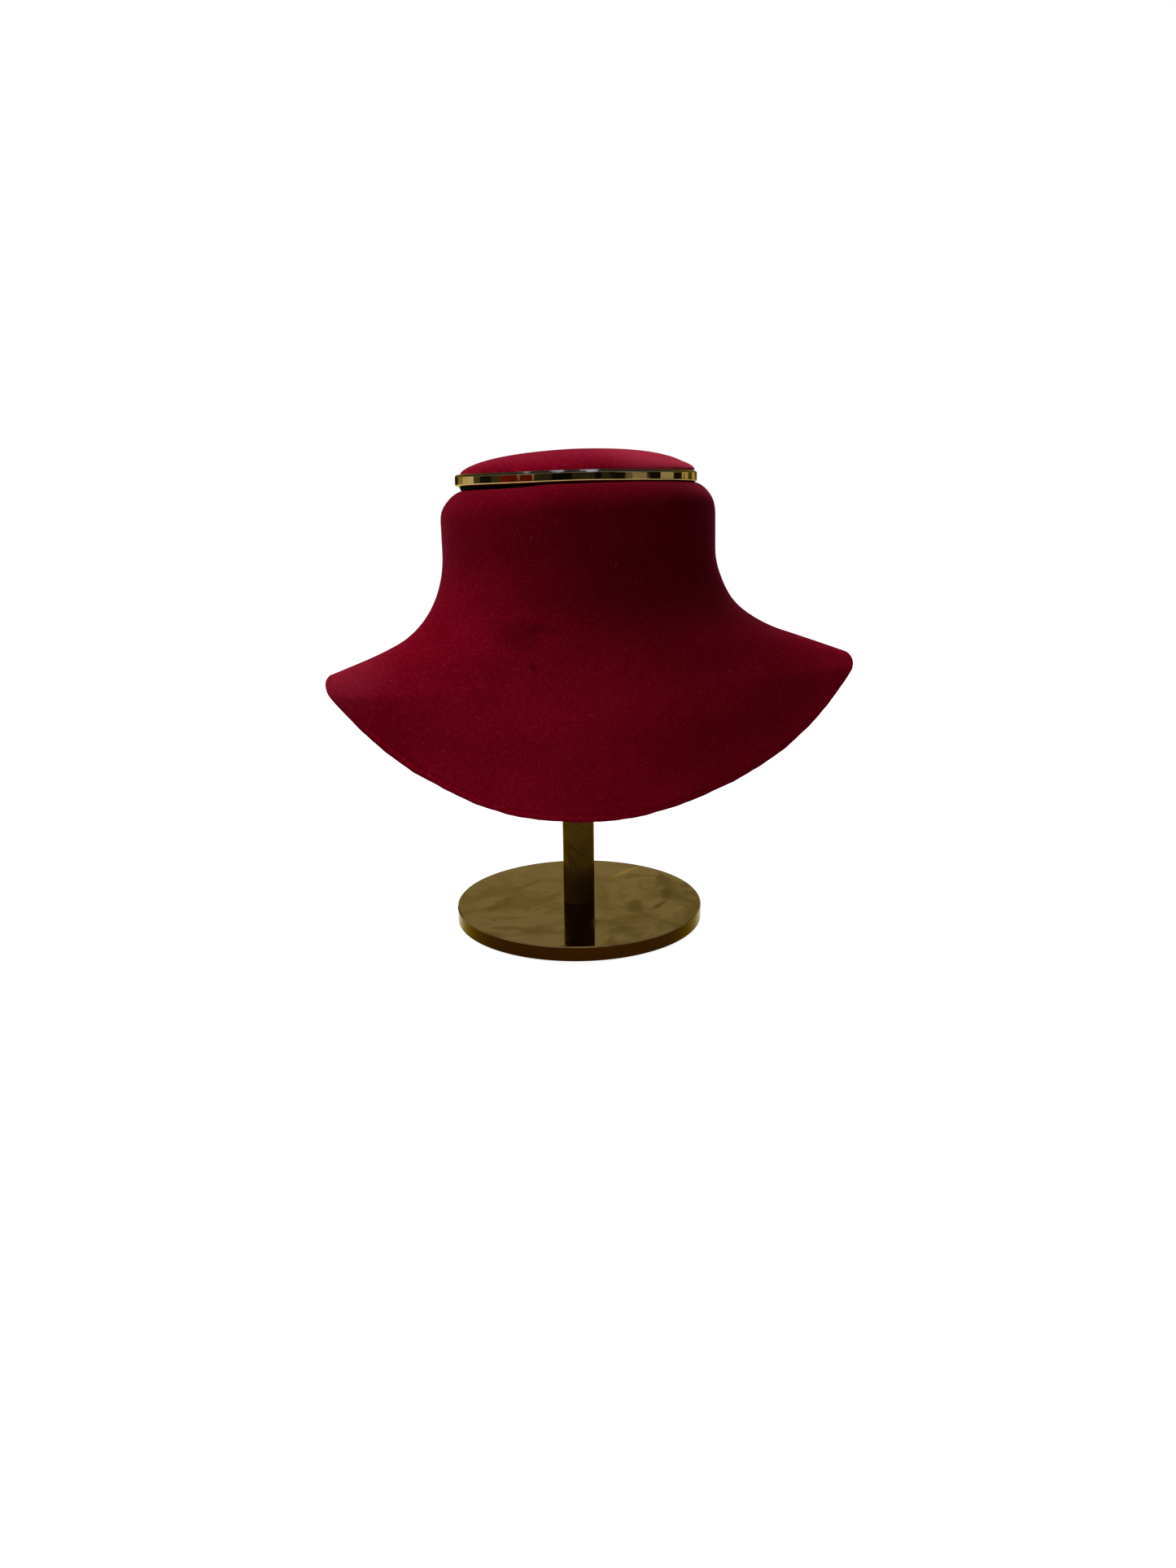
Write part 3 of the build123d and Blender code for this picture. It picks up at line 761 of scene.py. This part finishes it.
def smear_group():
    """A soft patch with ragged edges, of a given place, turn and size."""
    tree, given = new_group("smear", "ShaderNodeTree", (
        ("Place", VECTOR, (0, 0, 0)), ("Turn", VECTOR, (0, 0, 0)), ("Size", VECTOR, (1, 1, 1))),
        (("Mask", NUMBER),))
    placed = node(tree, "ShaderNodeMapping", vector_type="TEXTURE",
                  inputs={"Vector": ragged(tree, object_place(tree), 170.0, 0.007),
                          "Location": given["Place"], "Rotation": given["Turn"],
                          "Scale": given["Size"]})
    patch = node(tree, "ShaderNodeTexGradient", {"Vector": placed.outputs[0]},
                 gradient_type="SPHERICAL")
    soft = map_range(tree, patch.outputs["Fac"], 0.0, 0.6, smooth=True)
    node(tree, "NodeGroupOutput", {"Mask": soft})
    return tree


# ---- materials ----

def new_material(name):
    material = bpy.data.materials.new(name)
    material.use_nodes = True
    return material, material.node_tree, material.node_tree.nodes["Principled BSDF"]


def group_node(tree, name, maker, inputs):
    """Place a shader group, which is made the first time it is asked for."""
    group = bpy.data.node_groups.get(name) or maker()
    return node(tree, "ShaderNodeGroup", inputs, node_tree=group).outputs


def bump(tree, height, strength, distance):
    made = node(tree, "ShaderNodeBump",
                {"Strength": strength, "Distance": distance, "Height": height})
    return made.outputs["Normal"]


def suede_material(name, base, lit, dark, cloud_size, cloud_amount, grain, sheen, brushed=False):
    """Crimson microfibre suede with brushed nap; with brushed set, painted light and shade go over
    it.
    """
    material, tree, shader = new_material(name)
    nap = group_node(tree, "nap", nap_group,
                     {"Base": base, "Lit": lit, "Dark": dark, "Cloud Size": cloud_size,
                      "Cloud Amount": cloud_amount, "Grain": grain})
    colour = nap["Color"]
    # painted light and shade: darker up the neck, lighter down the bib and at the sides
    if brushed:
        colour = group_node(tree, "brushed_tone", painted_light_group, {"Color": colour})["Color"]
    fill(tree, shader, {"Base Color": colour, "Roughness": 0.95, "Specular IOR Level": 0.0,
                        "Sheen Weight": sheen, "Sheen Roughness": 0.45, "Sheen Tint": SHEEN_TINT,
                        "Normal": bump(tree, nap["Height"], 0.5, 0.2 * MM)})
    return material


def smudged_material(name, base, worn, roughness, spread, smudge_size, stretch, relief, depth):
    """A finish in two tones with its own relief."""
    material, tree, shader = new_material(name)
    smudges = group_node(tree, "smudges", smudge_group,
                         {"Base": base, "Worn": worn, "Roughness": roughness, "Spread": spread,
                          "Smudge Size": smudge_size, "Scratch Stretch": stretch})
    fill(tree, shader, {"Base Color": smudges["Color"], "Roughness": smudges["Roughness"],
                        "Normal": bump(tree, smudges["Height"], relief, depth)})
    return material, tree, shader


def metal_material(name, base, worn, roughness, spread, smudge_size, stretch=(1, 1, 1), relief=0.04,
                   edge_tint=(1, 1, 1)):
    material, tree, shader = smudged_material(name, base, worn, roughness, spread, smudge_size,
                                              stretch, relief, 0.02 * MM)
    fill(tree, shader, {"Metallic": 1.0, "Specular Tint": edge_tint})
    return material


def plain_material(name, base, worn, roughness, grain_size, stretch=(1, 1, 1)):
    """Wood, board, nylon and rubber."""
    return smudged_material(name, base, worn, roughness, 0.15, grain_size, stretch, 0.3,
                            0.05 * MM)[0]


def blend_in(material, colour, share):
    """Blend a finish into another colour by a share, which is a socket."""
    tree = material.node_tree
    base = tree.nodes["Principled BSDF"].inputs["Base Color"]
    tree.links.new(mix_colour(tree, share, base.links[0].from_socket, colour), base)


def paint_shade_by_facing(material, colour, low, high):
    """Paint shade into a finish: blend it into another colour as its surface turns upwards, from low
    to high.
    """
    tree = material.node_tree
    normal = node(tree, "ShaderNodeTexCoord").outputs["Normal"]
    up = axes(tree, normal)["Z"]
    blend_in(material, colour, map_range(tree, up, low, high, smooth=True))


def smear(material, place, size, colour, share, turn=0.0):
    """Blend a tone into a finish over one soft patch; place and size in mm, turn in degrees."""
    tree = material.node_tree
    patch = group_node(tree, "smear", smear_group,
                       {"Place": Vector(place) * MM, "Size": Vector(size) * MM,
                        "Turn": (0.0, 0.0, math.radians(turn))})
    blend_in(material, colour, maths(tree, "MULTIPLY", patch["Mask"], share))


def repaint(material, *node_names):
    """Give nodes of the frame a new finish."""
    for name in node_names:
        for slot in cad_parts[name].material_slots:
            slot.material = material


# ---- settings ----

class BustSizes(bpy.types.PropertyGroup):
    """Sizes of the pieces, in millimetres"""
    roll_width: FloatProperty(
        name="Roll Width", description="Width of the rolled lower edge in mm", default=2.6,
        min=1.0, max=5.0)
    roll_proud: FloatProperty(
        name="Roll Height", description="How far the roll stands proud of the covering in mm",
        default=0.1)
    fold_radius: FloatProperty(
        name="Fold Radius", description="Rounding of the covering at its edges in mm", default=1.0)
    cap_crown: FloatProperty(
        name="Cap Crown", description="Height of the cushion above the ring in mm", default=8.3)
    skirt_drop: FloatProperty(
        name="Cap Skirt", description="How far the cushion's side reaches down in the ring, in mm",
        default=3.0)
    ring_edge: FloatProperty(
        name="Ring Edge", description="Rounding of the ring's edges in mm", default=0.85)
    lint_density: FloatProperty(
        name="Lint", description="Fibres for each square metre of covering", default=900.0)


class BustColours(bpy.types.PropertyGroup):
    """Colours of suede and metal"""
    suede: FloatVectorProperty(
        name="Suede", description="Colour of the suede", subtype="COLOR", size=4,
        default=(0.115, 0.0005, 0.0055, 1))
    suede_lit: FloatVectorProperty(
        name="Brushed Suede", description="Colour where the nap is brushed up", subtype="COLOR",
        size=4, default=(0.165, 0.0012, 0.0095, 1))
    suede_dark: FloatVectorProperty(
        name="Dark Suede", description="Colour between the fibres", subtype="COLOR", size=4,
        default=(0.055, 0.0002, 0.002, 1))
    brass: FloatVectorProperty(
        name="Brass", description="Colour of the base", subtype="COLOR", size=4,
        default=(0.235, 0.158, 0.064, 1))
    gold: FloatVectorProperty(
        name="Gold", description="Colour of the ring", subtype="COLOR", size=4,
        default=(0.40, 0.29, 0.11, 1))


class BustStage(bpy.types.PropertyGroup):
    """Camera, lamps and room"""
    camera_place: FloatVectorProperty(
        name="Camera", description="Place of the camera", subtype="TRANSLATION", unit="LENGTH",
        default=(-0.1070, -0.4097, 0.1668))
    camera_turn: FloatProperty(
        name="Turn", description="Turn of the camera towards the bust's left", subtype="ANGLE",
        default=math.radians(15.2))
    camera_pitch: FloatProperty(
        name="Pitch", description="How far the camera looks down", subtype="ANGLE",
        default=math.radians(14.734))
    camera_roll: FloatProperty(
        name="Roll", description="Roll of the camera", subtype="ANGLE",
        default=math.radians(-0.649))
    camera_lens: FloatProperty(
        name="Lens", description="Focal length in millimetres", default=24.96)
    key_power: FloatProperty(
        name="Key", description="Power of the key lamp in watts", default=14.0)
    fill_power: FloatProperty(
        name="Fill", description="Power of the fill lamp in watts", default=3.0)
    back_power: FloatProperty(
        name="Back", description="Power of the back lamp in watts", default=7.0)
    room_light: FloatProperty(
        name="Room", description="Strength of the light all round", default=0.15)
    mirrored_room: FloatProperty(
        name="Mirrored Room", description="Strength of the room in polished metal", default=0.55)


# ---- operators ----

STEEL_PIECES = ("base_screw", "foot_plug", "head_plug", "swivel_washer", "swivel_screw",
                "flange_screws")
# Darker smudges in the nap, and a painted sheen as a pale haze at the left tip: place and size in
# mm, tone, share
NAP_SMUDGES_AND_SHEEN = (
    ((-32.0, -42.0, 122.0), (11.0, 30.0, 7.5), (0.018, 0.0, 0.001), 0.32),
    ((-24.0, -42.0, 123.0), (8.0, 30.0, 2.2), (0.02, 0.0, 0.001), 0.28),
    ((-28.0, -46.0, 111.5), (2.4, 30.0, 1.8), (0.02, 0.0, 0.001), 0.45),
    # the painted sheen at the left tip
    ((-98.0, 0.0, 112.0), (34.0, 90.0, 22.0), (0.28, 0.03, 0.055), 0.22))
# Painted white highlights along the ring's top edge: x and length in mm
RING_PAINTED_HIGHLIGHTS = ((-26.0, 4.5), (-15.0, 4.0), (-3.0, 5.0))
PAINTED_HIGHLIGHT = (0.62, 0.64, 0.72)
# Marks left on the disc by wiping: x, y, length and width in mm, turn in degrees, tone, share
WIPED, OCHRE = (0.085, 0.05, 0.014), (0.62, 0.36, 0.06)
DISC_MARKS = (
    (28.5, 27.0, 12.0, 1.8, 38.0, OCHRE, 0.4), (41.0, 12.0, 12.0, 3.8, 82.0, WIPED, 0.85),
    (36.5, -5.0, 11.0, 3.6, 67.0, WIPED, 0.9), (29.5, -16.5, 8.0, 2.2, 46.0, WIPED, 0.9),
    (19.5, -14.5, 8.0, 5.0, 60.0, WIPED, 0.7), (7.0, -37.0, 8.0, 5.0, 10.0, WIPED, 0.6),
    (-33.0, 3.0, 13.0, 4.5, 40.0, WIPED, 0.6), (-34.0, -24.0, 10.0, 3.0, -25.0, WIPED, 0.5),
    (-18.0, 22.0, 14.0, 2.6, 35.0, WIPED, 0.5), (-38.0, -12.0, 1.2, 1.2, 0.0, WIPED, 0.9))


class BUST_OT_covering(bpy.types.Operator):
    """Make the suede-covered neck, shoulders and bib"""
    bl_idname = "bust.covering"
    bl_label = "Suede Covering"

    def execute(self, context):
        sizes, colours = context.scene.bust_sizes, context.scene.bust_colours
        # The body's suede gets painted light and shade over its nap.
        suede = suede_material("crimson_suede", colours.suede, colours.suede_lit,
                               colours.suede_dark, cloud_size=42.0, cloud_amount=0.5, grain=0.45,
                               sheen=0.16, brushed=True)
        # dark smudges in the nap, and the painted sheen at the left tip
        for smudge in NAP_SMUDGES_AND_SHEEN:
            smear(suede, *smudge)
        loops = body_loops(sizes.roll_width - ROLL_LAP, sizes.fold_radius)
        loops = [[neck_tilt(*point) for point in loop] for loop in loops]
        body = shaded_object("suede_body", loops_mesh("suede_body", loops, close_first=True), suede)
        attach(body, "bust")
        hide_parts("front_half", "back_half")
        return {"FINISHED"}


class BUST_OT_rolled_edge(bpy.types.Operator):
    """Make the rolled strip round the bib's lower edge"""
    bl_idname = "bust.rolled_edge"
    bl_label = "Rolled Edge"

    def execute(self, context):
        sizes, colours = context.scene.bust_sizes, context.scene.bust_colours
        loops = roll_loops(sizes.roll_width, ROLL_OVERLAP, sizes.roll_proud)
        mesh = loops_mesh("rolled_edge", loops, close_first=True, close_last=True)
        # The roll's suede gets the same painted light and shade.
        suede = suede_material("folded_suede", colours.suede, colours.suede, colours.suede_dark,
                               cloud_size=42.0, cloud_amount=0.5, grain=0.8, sheen=0.02,
                               brushed=True)
        roll = shaded_object("rolled_edge", mesh, suede)
        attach(roll, "bust")
        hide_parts("edge_band")
        return {"FINISHED"}


class BUST_OT_cap(bpy.types.Operator):
    """Make the padded cap"""
    bl_idname = "bust.cap"
    bl_label = "Padded Cap"

    def execute(self, context):
        sizes, colours = context.scene.bust_sizes, context.scene.bust_colours
        suede = suede_material("cap_suede", (0.125, 0.0006, 0.007), colours.suede_lit,
                               colours.suede_dark, cloud_size=60.0, cloud_amount=0.7, grain=0.75,
                               sheen=0.3)
        # painted light and sheen over the cap's right end
        smear(suede, (30.0, -16.0, 187.0), (34.0, 50.0, 30.0), (0.34, 0.03, 0.05), 0.36)
        loops = cap_loops(sizes.cap_crown, sizes.skirt_drop)
        mesh = loops_mesh("cap_cushion", loops, close_last=True)
        cap = shaded_object("cap_cushion", mesh, suede)
        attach(cap, "bust")
        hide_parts("cap_cover", "cap_foam")
        return {"FINISHED"}


class BUST_OT_plinth(bpy.types.Operator):
    """Make the dark plinth between the neck and the ring"""
    bl_idname = "bust.plinth"
    bl_label = "Cap Plinth"

    def execute(self, context):
        board = plain_material("black_board", (0.003, 0.003, 0.003), (0.006, 0.005, 0.005),
                               roughness=0.9, grain_size=200.0)
        fill(board.node_tree, board.node_tree.nodes["Principled BSDF"], {"Specular IOR Level": 0.05})
        mesh = loops_mesh("cap_plinth", plinth_loops(), close_first=True, close_last=True)
        plinth = shaded_object("cap_plinth", mesh, board, math.radians(40))
        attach(plinth, "bust")
        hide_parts("cap_board")
        return {"FINISHED"}


class BUST_OT_ring(bpy.types.Operator):
    """Make the polished oval ring"""
    bl_idname = "bust.ring"
    bl_label = "Cap Ring"

    def execute(self, context):
        sizes, colours = context.scene.bust_sizes, context.scene.bust_colours
        gold = metal_material("mirror_gold", colours.gold, (0.33, 0.24, 0.09), roughness=0.03,
                              spread=0.04, smudge_size=90.0, stretch=(1, 1, 6), relief=0.02,
                              edge_tint=(0.8, 0.65, 0.35))
        # painted dark reflection along the ring's upward-facing top edge
        paint_shade_by_facing(gold, (0.035, 0.03, 0.034), 0.08, 0.35)
        # painted white highlights on the ring's top edge
        for x, long in RING_PAINTED_HIGHLIGHTS:
            smear(gold, (x, -38.0, RING_HIGH.z + 0.3), (long, 14.0, 1.3), PAINTED_HIGHLIGHT, 0.9)
        low, high = (Vector(corner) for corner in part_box("cap_ring"))
        size = high - low
        values = {"Half Width": size.x / 2 + CAP_WIDER * MM, "Half Depth": size.y / 2,
                  "Height": size.z, "Wall": RING_WALL * MM, "Edge Radius": sizes.ring_edge * MM,
                  "Bevel Height": RING_BEVEL[0] * MM, "Bevel Depth": RING_BEVEL[1] * MM,
                  "Centre": (low + high) / 2 + Vector((CAP_ASIDE * MM, 0, 0)), "Material": gold}
        ring = run_geometry_tree("oval_ring", ring_tree(), bpy.data.meshes.new("ring_host"), values)
        for vertex in ring.data.vertices:
            vertex.co.z += cap_lean(vertex.co.x / MM) * MM
        ring.data.shade_smooth()
        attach(ring, "bust")
        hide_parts("cap_ring")
        return {"FINISHED"}


class BUST_OT_lint(bpy.types.Operator):
    """Scatter a few lint fibres over the suede"""
    bl_idname = "bust.lint"
    bl_label = "Lint"

    def execute(self, context):
        density = context.scene.bust_sizes.lint_density
        fibre = plain_material("lint_fibre", (0.35, 0.16, 0.16), (0.25, 0.05, 0.06),
                               roughness=0.9, grain_size=500.0)
        body = bpy.data.objects["suede_body"].data.copy()
        values = {"Density": density, "Length": LINT_LENGTH * MM, "Thickness": LINT_THICKNESS * MM,
                  "Seed": 7, "Material": fibre}
        lint = run_geometry_tree("lint", lint_tree(), body, values)
        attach(lint, "bust")
        return {"FINISHED"}


class BUST_OT_metalwork(bpy.types.Operator):
    """Finish the post, the base and the hidden fittings"""
    bl_idname = "bust.metalwork"
    bl_label = "Metalwork"

    def execute(self, context):
        colours = context.scene.bust_colours
        disc = metal_material("satin_brass_disc", colours.brass, (0.145, 0.09, 0.03),
                              roughness=0.04, spread=0.13, smudge_size=40.0,
                              edge_tint=(0.85, 0.74, 0.5))
        for x, y, long, wide, turn, tone, share in DISC_MARKS:
            smear(disc, (x, y, 0.0), (long, wide, 1000.0), tone, share, turn)
        # painted dark reflection: the disc's sideways-facing rim is darkened to a dark brown
        paint_shade_by_facing(disc, (0.024, 0.0078, 0.0008), 0.6, 0.2)
        # the post's brass is painted far darker than the disc's, as a painted dark reflection
        post = metal_material("satin_brass_post", (0.062, 0.034, 0.005), (0.045, 0.022, 0.003),
                              roughness=0.22, spread=0.08, smudge_size=70.0, stretch=(6, 6, 0.3),
                              edge_tint=(0.72, 0.55, 0.26))
        fill(post.node_tree, post.node_tree.nodes["Principled BSDF"],
             {"Metallic": 0.5, "Specular IOR Level": 0.0})
        steel = metal_material("plain_steel", (0.55, 0.55, 0.56), (0.42, 0.42, 0.43),
                               roughness=0.3, spread=0.1, smudge_size=200.0)
        aluminium = metal_material("turned_aluminium", (0.72, 0.72, 0.73), (0.6, 0.6, 0.61),
                                   roughness=0.35, spread=0.1, smudge_size=150.0,
                                   stretch=(0.3, 0.3, 8))
        repaint(disc, "base_disc")
        repaint(post, "post_tube")
        repaint(steel, *STEEL_PIECES)
        repaint(aluminium, "swivel_socket")
        return {"FINISHED"}


class BUST_OT_inner_parts(bpy.types.Operator):
    """Finish the block, the dowels, the panel, the washer and the pad"""
    bl_idname = "bust.inner_parts"
    bl_label = "Inner Parts"

    def execute(self, context):
        wood = plain_material("raw_wood", (0.55, 0.38, 0.21), (0.40, 0.26, 0.13), roughness=0.7,
                              grain_size=60.0, stretch=(8, 8, 0.4))
        nylon = plain_material("nylon", (0.75, 0.74, 0.7), (0.65, 0.64, 0.6), roughness=0.5,
                               grain_size=200.0)
        pad = plain_material("pad_rubber", (0.018, 0.018, 0.018), (0.03, 0.03, 0.03),
                             roughness=0.85, grain_size=300.0)
        repaint(wood, "core_block", "cap_dowels")
        repaint(nylon, "thrust_washer")
        repaint(pad, "base_pad")
        # the panel takes the body's suede, painted light and shade included
        repaint(bpy.data.materials["crimson_suede"], "underside_panel")
        return {"FINISHED"}


class BUST_OT_stage(bpy.types.Operator):
    """Set the floor, the lamps, the light all round and the camera"""
    bl_idname = "bust.stage"
    bl_label = "Stage"

    def execute(self, context):
        stage = context.scene.bust_stage
        make_floor()
        make_room(stage.room_light, stage.mirrored_room)
        make_reflections()
        for name, place, size in LAMPS:
            add_lamp(name, place, size, getattr(stage, name + "_power"))
        add_camera(stage)
        context.scene.view_settings.view_transform = "Standard"
        return {"FINISHED"}


# ---- the stage, in metres ----

# Name, place and size of each lamp
LAMPS = (("key", (-0.55, -0.12, 1.10), 0.45), ("fill", (0.10, -0.70, 1.0), 0.6),
         ("back", (0.55, 0.75, 0.75), 0.6))
LAMP_AIM = (0.0, 0.0, 0.1)
FLOOR_REACH = 30.0
FLOOR_GLOW, GLOW_SPAN = 0.88, (0.10, 0.60)  # dimmer round the foot, and full white from there on
WALL_REACH, WALL_HEIGHTS = 1.6, (-0.1, 0.5)
WALL_FRONT_GLOW, WALL_FULL_FROM_Y = 0.35, 0.4
PANEL_STRETCH = (2.2, 2.2, 3.4)     # panels for each metre, across and up
# Where each tone of the dim wall's panels starts, between 0 and 1
WALL_TONES = ((0.0, (0.02, 0.018, 0.016)), (0.3, (0.12, 0.11, 0.09)), (0.5, (0.5, 0.48, 0.42)),
              (0.72, (1.0, 0.97, 0.88)), (0.93, (0.35, 0.03, 0.02)))
RED_START = WALL_TONES[-1][0]
RED_ENDS_AT_X = 0.3     # right of it the red panels are cream
CREAM = (0.8, 0.76, 0.6)


def make_floor():
    """A large pale floor that is white to the camera and in metal, and keeps the object's shadow."""
    mesh = bpy.data.meshes.new("floor")
    corners = [(x * FLOOR_REACH, y * FLOOR_REACH, 0)
               for x, y in ((-1, -1), (1, -1), (1, 1), (-1, 1))]
    mesh.from_pydata(corners, [], [(0, 1, 2, 3)])
    material, tree, shader = new_material("white_floor")
    away = node(tree, "ShaderNodeVectorMath", {0: object_place(tree)}, operation="LENGTH")
    glow = map_range(tree, away.outputs["Value"], *GLOW_SPAN, FLOOR_GLOW, smooth=True)
    rays = node(tree, "ShaderNodeLightPath").outputs
    seen = maths(tree, "MAXIMUM", rays["Is Camera Ray"], rays["Is Glossy Ray"])
    strength = maths(tree, "MULTIPLY", seen, glow)
    fill(tree, shader, {"Base Color": (0.3, 0.3, 0.3), "Roughness": 0.9, "Specular IOR Level": 0.0,
                        "Emission Color": (1, 1, 1), "Emission Strength": strength})
    shaded_object("floor", mesh, material)


def make_room(strength, mirrored):
    """White for the camera, a dimmer white for reflections, and a plain grey light elsewhere."""
    world = bpy.data.worlds.new("room")
    bpy.context.scene.world = world
    world.use_nodes = True
    tree = world.node_tree
    rays = node(tree, "ShaderNodeLightPath").outputs
    through = maths(tree, "MAXIMUM", rays["Is Camera Ray"], rays["Is Transmission Ray"])
    dim = maths(tree, "MULTIPLY_ADD", rays["Is Glossy Ray"], mirrored - strength, strength)
    light = node(tree, "ShaderNodeMix", {"Factor": through, "A": dim, "B": 1.0}, data_type="FLOAT")
    fill(tree, tree.nodes["Background"], {"Color": (1, 1, 1), "Strength": light.outputs["Result"]})


def make_reflections():
    """A dim wall all round that only polished metal reflects, with paler and darker stretches."""
    turns = [2 * math.pi * i / WALL_STEPS for i in range(WALL_STEPS)]
    places = [(WALL_REACH * math.cos(turn), WALL_REACH * math.sin(turn), z)
              for z in WALL_HEIGHTS for turn in turns]
    after = [(i + 1) % WALL_STEPS for i in range(WALL_STEPS)]
    faces = [(i, i + WALL_STEPS, j + WALL_STEPS, j) for i, j in enumerate(after)]
    mesh = bpy.data.meshes.new("dim_wall")
    mesh.from_pydata(places, [], faces)
    material, tree, shader = new_material("dim_wall")
    place = object_place(tree)
    stretched = vector_maths(tree, "MULTIPLY", place, PANEL_STRETCH)
    panels = node(tree, "ShaderNodeTexVoronoi", distance="CHEBYCHEV",
                  inputs={"Scale": 1.0, "Vector": ragged(tree, stretched, 2.5, 0.5)})
    parts = node(tree, "ShaderNodeSeparateColor", {0: panels.outputs["Color"]})
    chance = parts.outputs["Red"]
    tones = node(tree, "ShaderNodeValToRGB", {"Fac": chance})
    ramp = tones.color_ramp
    ramp.interpolation = "CONSTANT"
    for element, (position, tone) in zip(ramp.elements, WALL_TONES):
        element.position, element.color = position, (*tone, 1)
    for position, tone in WALL_TONES[2:]:
        ramp.elements.new(position).color = (*tone, 1)
    side = axes(tree, place)
    is_red = maths(tree, "GREATER_THAN", chance, RED_START)
    at_right = maths(tree, "GREATER_THAN", side["X"], RED_ENDS_AT_X)
    both = maths(tree, "MULTIPLY", is_red, at_right)
    calm = mix_colour(tree, both, tones.outputs["Color"], CREAM)
    far_side = map_range(tree, side["Y"], -WALL_REACH, WALL_FULL_FROM_Y, WALL_FRONT_GLOW)
    fill(tree, shader, {"Base Color": (0, 0, 0), "Specular IOR Level": 0.0, "Emission Color": calm,
                        "Emission Strength": far_side})
    wall = shaded_object("dim_wall", mesh, material)
    for kind in ("camera", "diffuse", "shadow", "transmission"):
        setattr(wall, "visible_" + kind, False)


def add_lamp(name, place, size, power):
    lamp = bpy.data.lights.new(name, "AREA")
    lamp.shape = "DISK"
    lamp.size = size
    lamp.energy = power
    obj = bpy.data.objects.new(name, lamp)
    obj.location = place
    aim = Vector(LAMP_AIM) - Vector(place)
    obj.rotation_euler = aim.to_track_quat("-Z", "Y").to_euler()
    obj.visible_glossy = False
    bpy.context.scene.collection.objects.link(obj)


def add_camera(stage):
    camera = bpy.data.cameras.new("camera")
    camera.lens = stage.camera_lens
    camera.clip_start = 0.01
    obj = bpy.data.objects.new("camera", camera)
    turn, pitch, roll = stage.camera_turn, stage.camera_pitch, stage.camera_roll
    forward = Vector((math.sin(turn) * math.cos(pitch), math.cos(turn) * math.cos(pitch),
                      -math.sin(pitch)))
    right = Vector((math.cos(turn), -math.sin(turn), 0.0))
    up = right.cross(forward)
    rolled_right = right * math.cos(roll) + up * math.sin(roll)
    rolled_up = up * math.cos(roll) - right * math.sin(roll)
    turned = Matrix((rolled_right, rolled_up, -forward)).transposed()
    obj.matrix_world = Matrix.Translation(stage.camera_place) @ turned.to_4x4()
    bpy.context.scene.collection.objects.link(obj)
    bpy.context.scene.camera = obj


class BUST_PT_panel(bpy.types.Panel):
    """Lists the steps that make the bust"""
    bl_label = "Display Bust"
    bl_space_type = "VIEW_3D"
    bl_region_type = "UI"
    bl_category = "Bust"

    def draw(self, context):
        for step in STEPS:
            self.layout.operator(step.bl_idname)
        for settings in SETTINGS:
            group = getattr(context.scene, settings)
            box = self.layout.box()
            for name in group.__annotations__:
                box.prop(group, name)


STEPS = (BUST_OT_covering, BUST_OT_rolled_edge, BUST_OT_cap, BUST_OT_plinth, BUST_OT_ring,
         BUST_OT_lint, BUST_OT_metalwork, BUST_OT_inner_parts, BUST_OT_stage)
SETTINGS = {"bust_sizes": BustSizes, "bust_colours": BustColours, "bust_stage": BustStage}


def register():
    for kind in (*SETTINGS.values(), *STEPS, BUST_PT_panel):
        bpy.utils.register_class(kind)
    for name, kind in SETTINGS.items():
        setattr(bpy.types.Scene, name, PointerProperty(type=kind))


def unregister():
    for name in SETTINGS:
        delattr(bpy.types.Scene, name)
    for kind in (BUST_PT_panel, *STEPS[::-1], *SETTINGS.values()):
        bpy.utils.unregister_class(kind)


def main():
    register()
    bpy.ops.bust.covering()
    bpy.ops.bust.rolled_edge()
    bpy.ops.bust.cap()
    bpy.ops.bust.plinth()
    bpy.ops.bust.ring()
    bpy.ops.bust.lint()
    bpy.ops.bust.metalwork()
    bpy.ops.bust.inner_parts()
    bpy.ops.bust.stage()


if __name__ == "__main__":
    main()
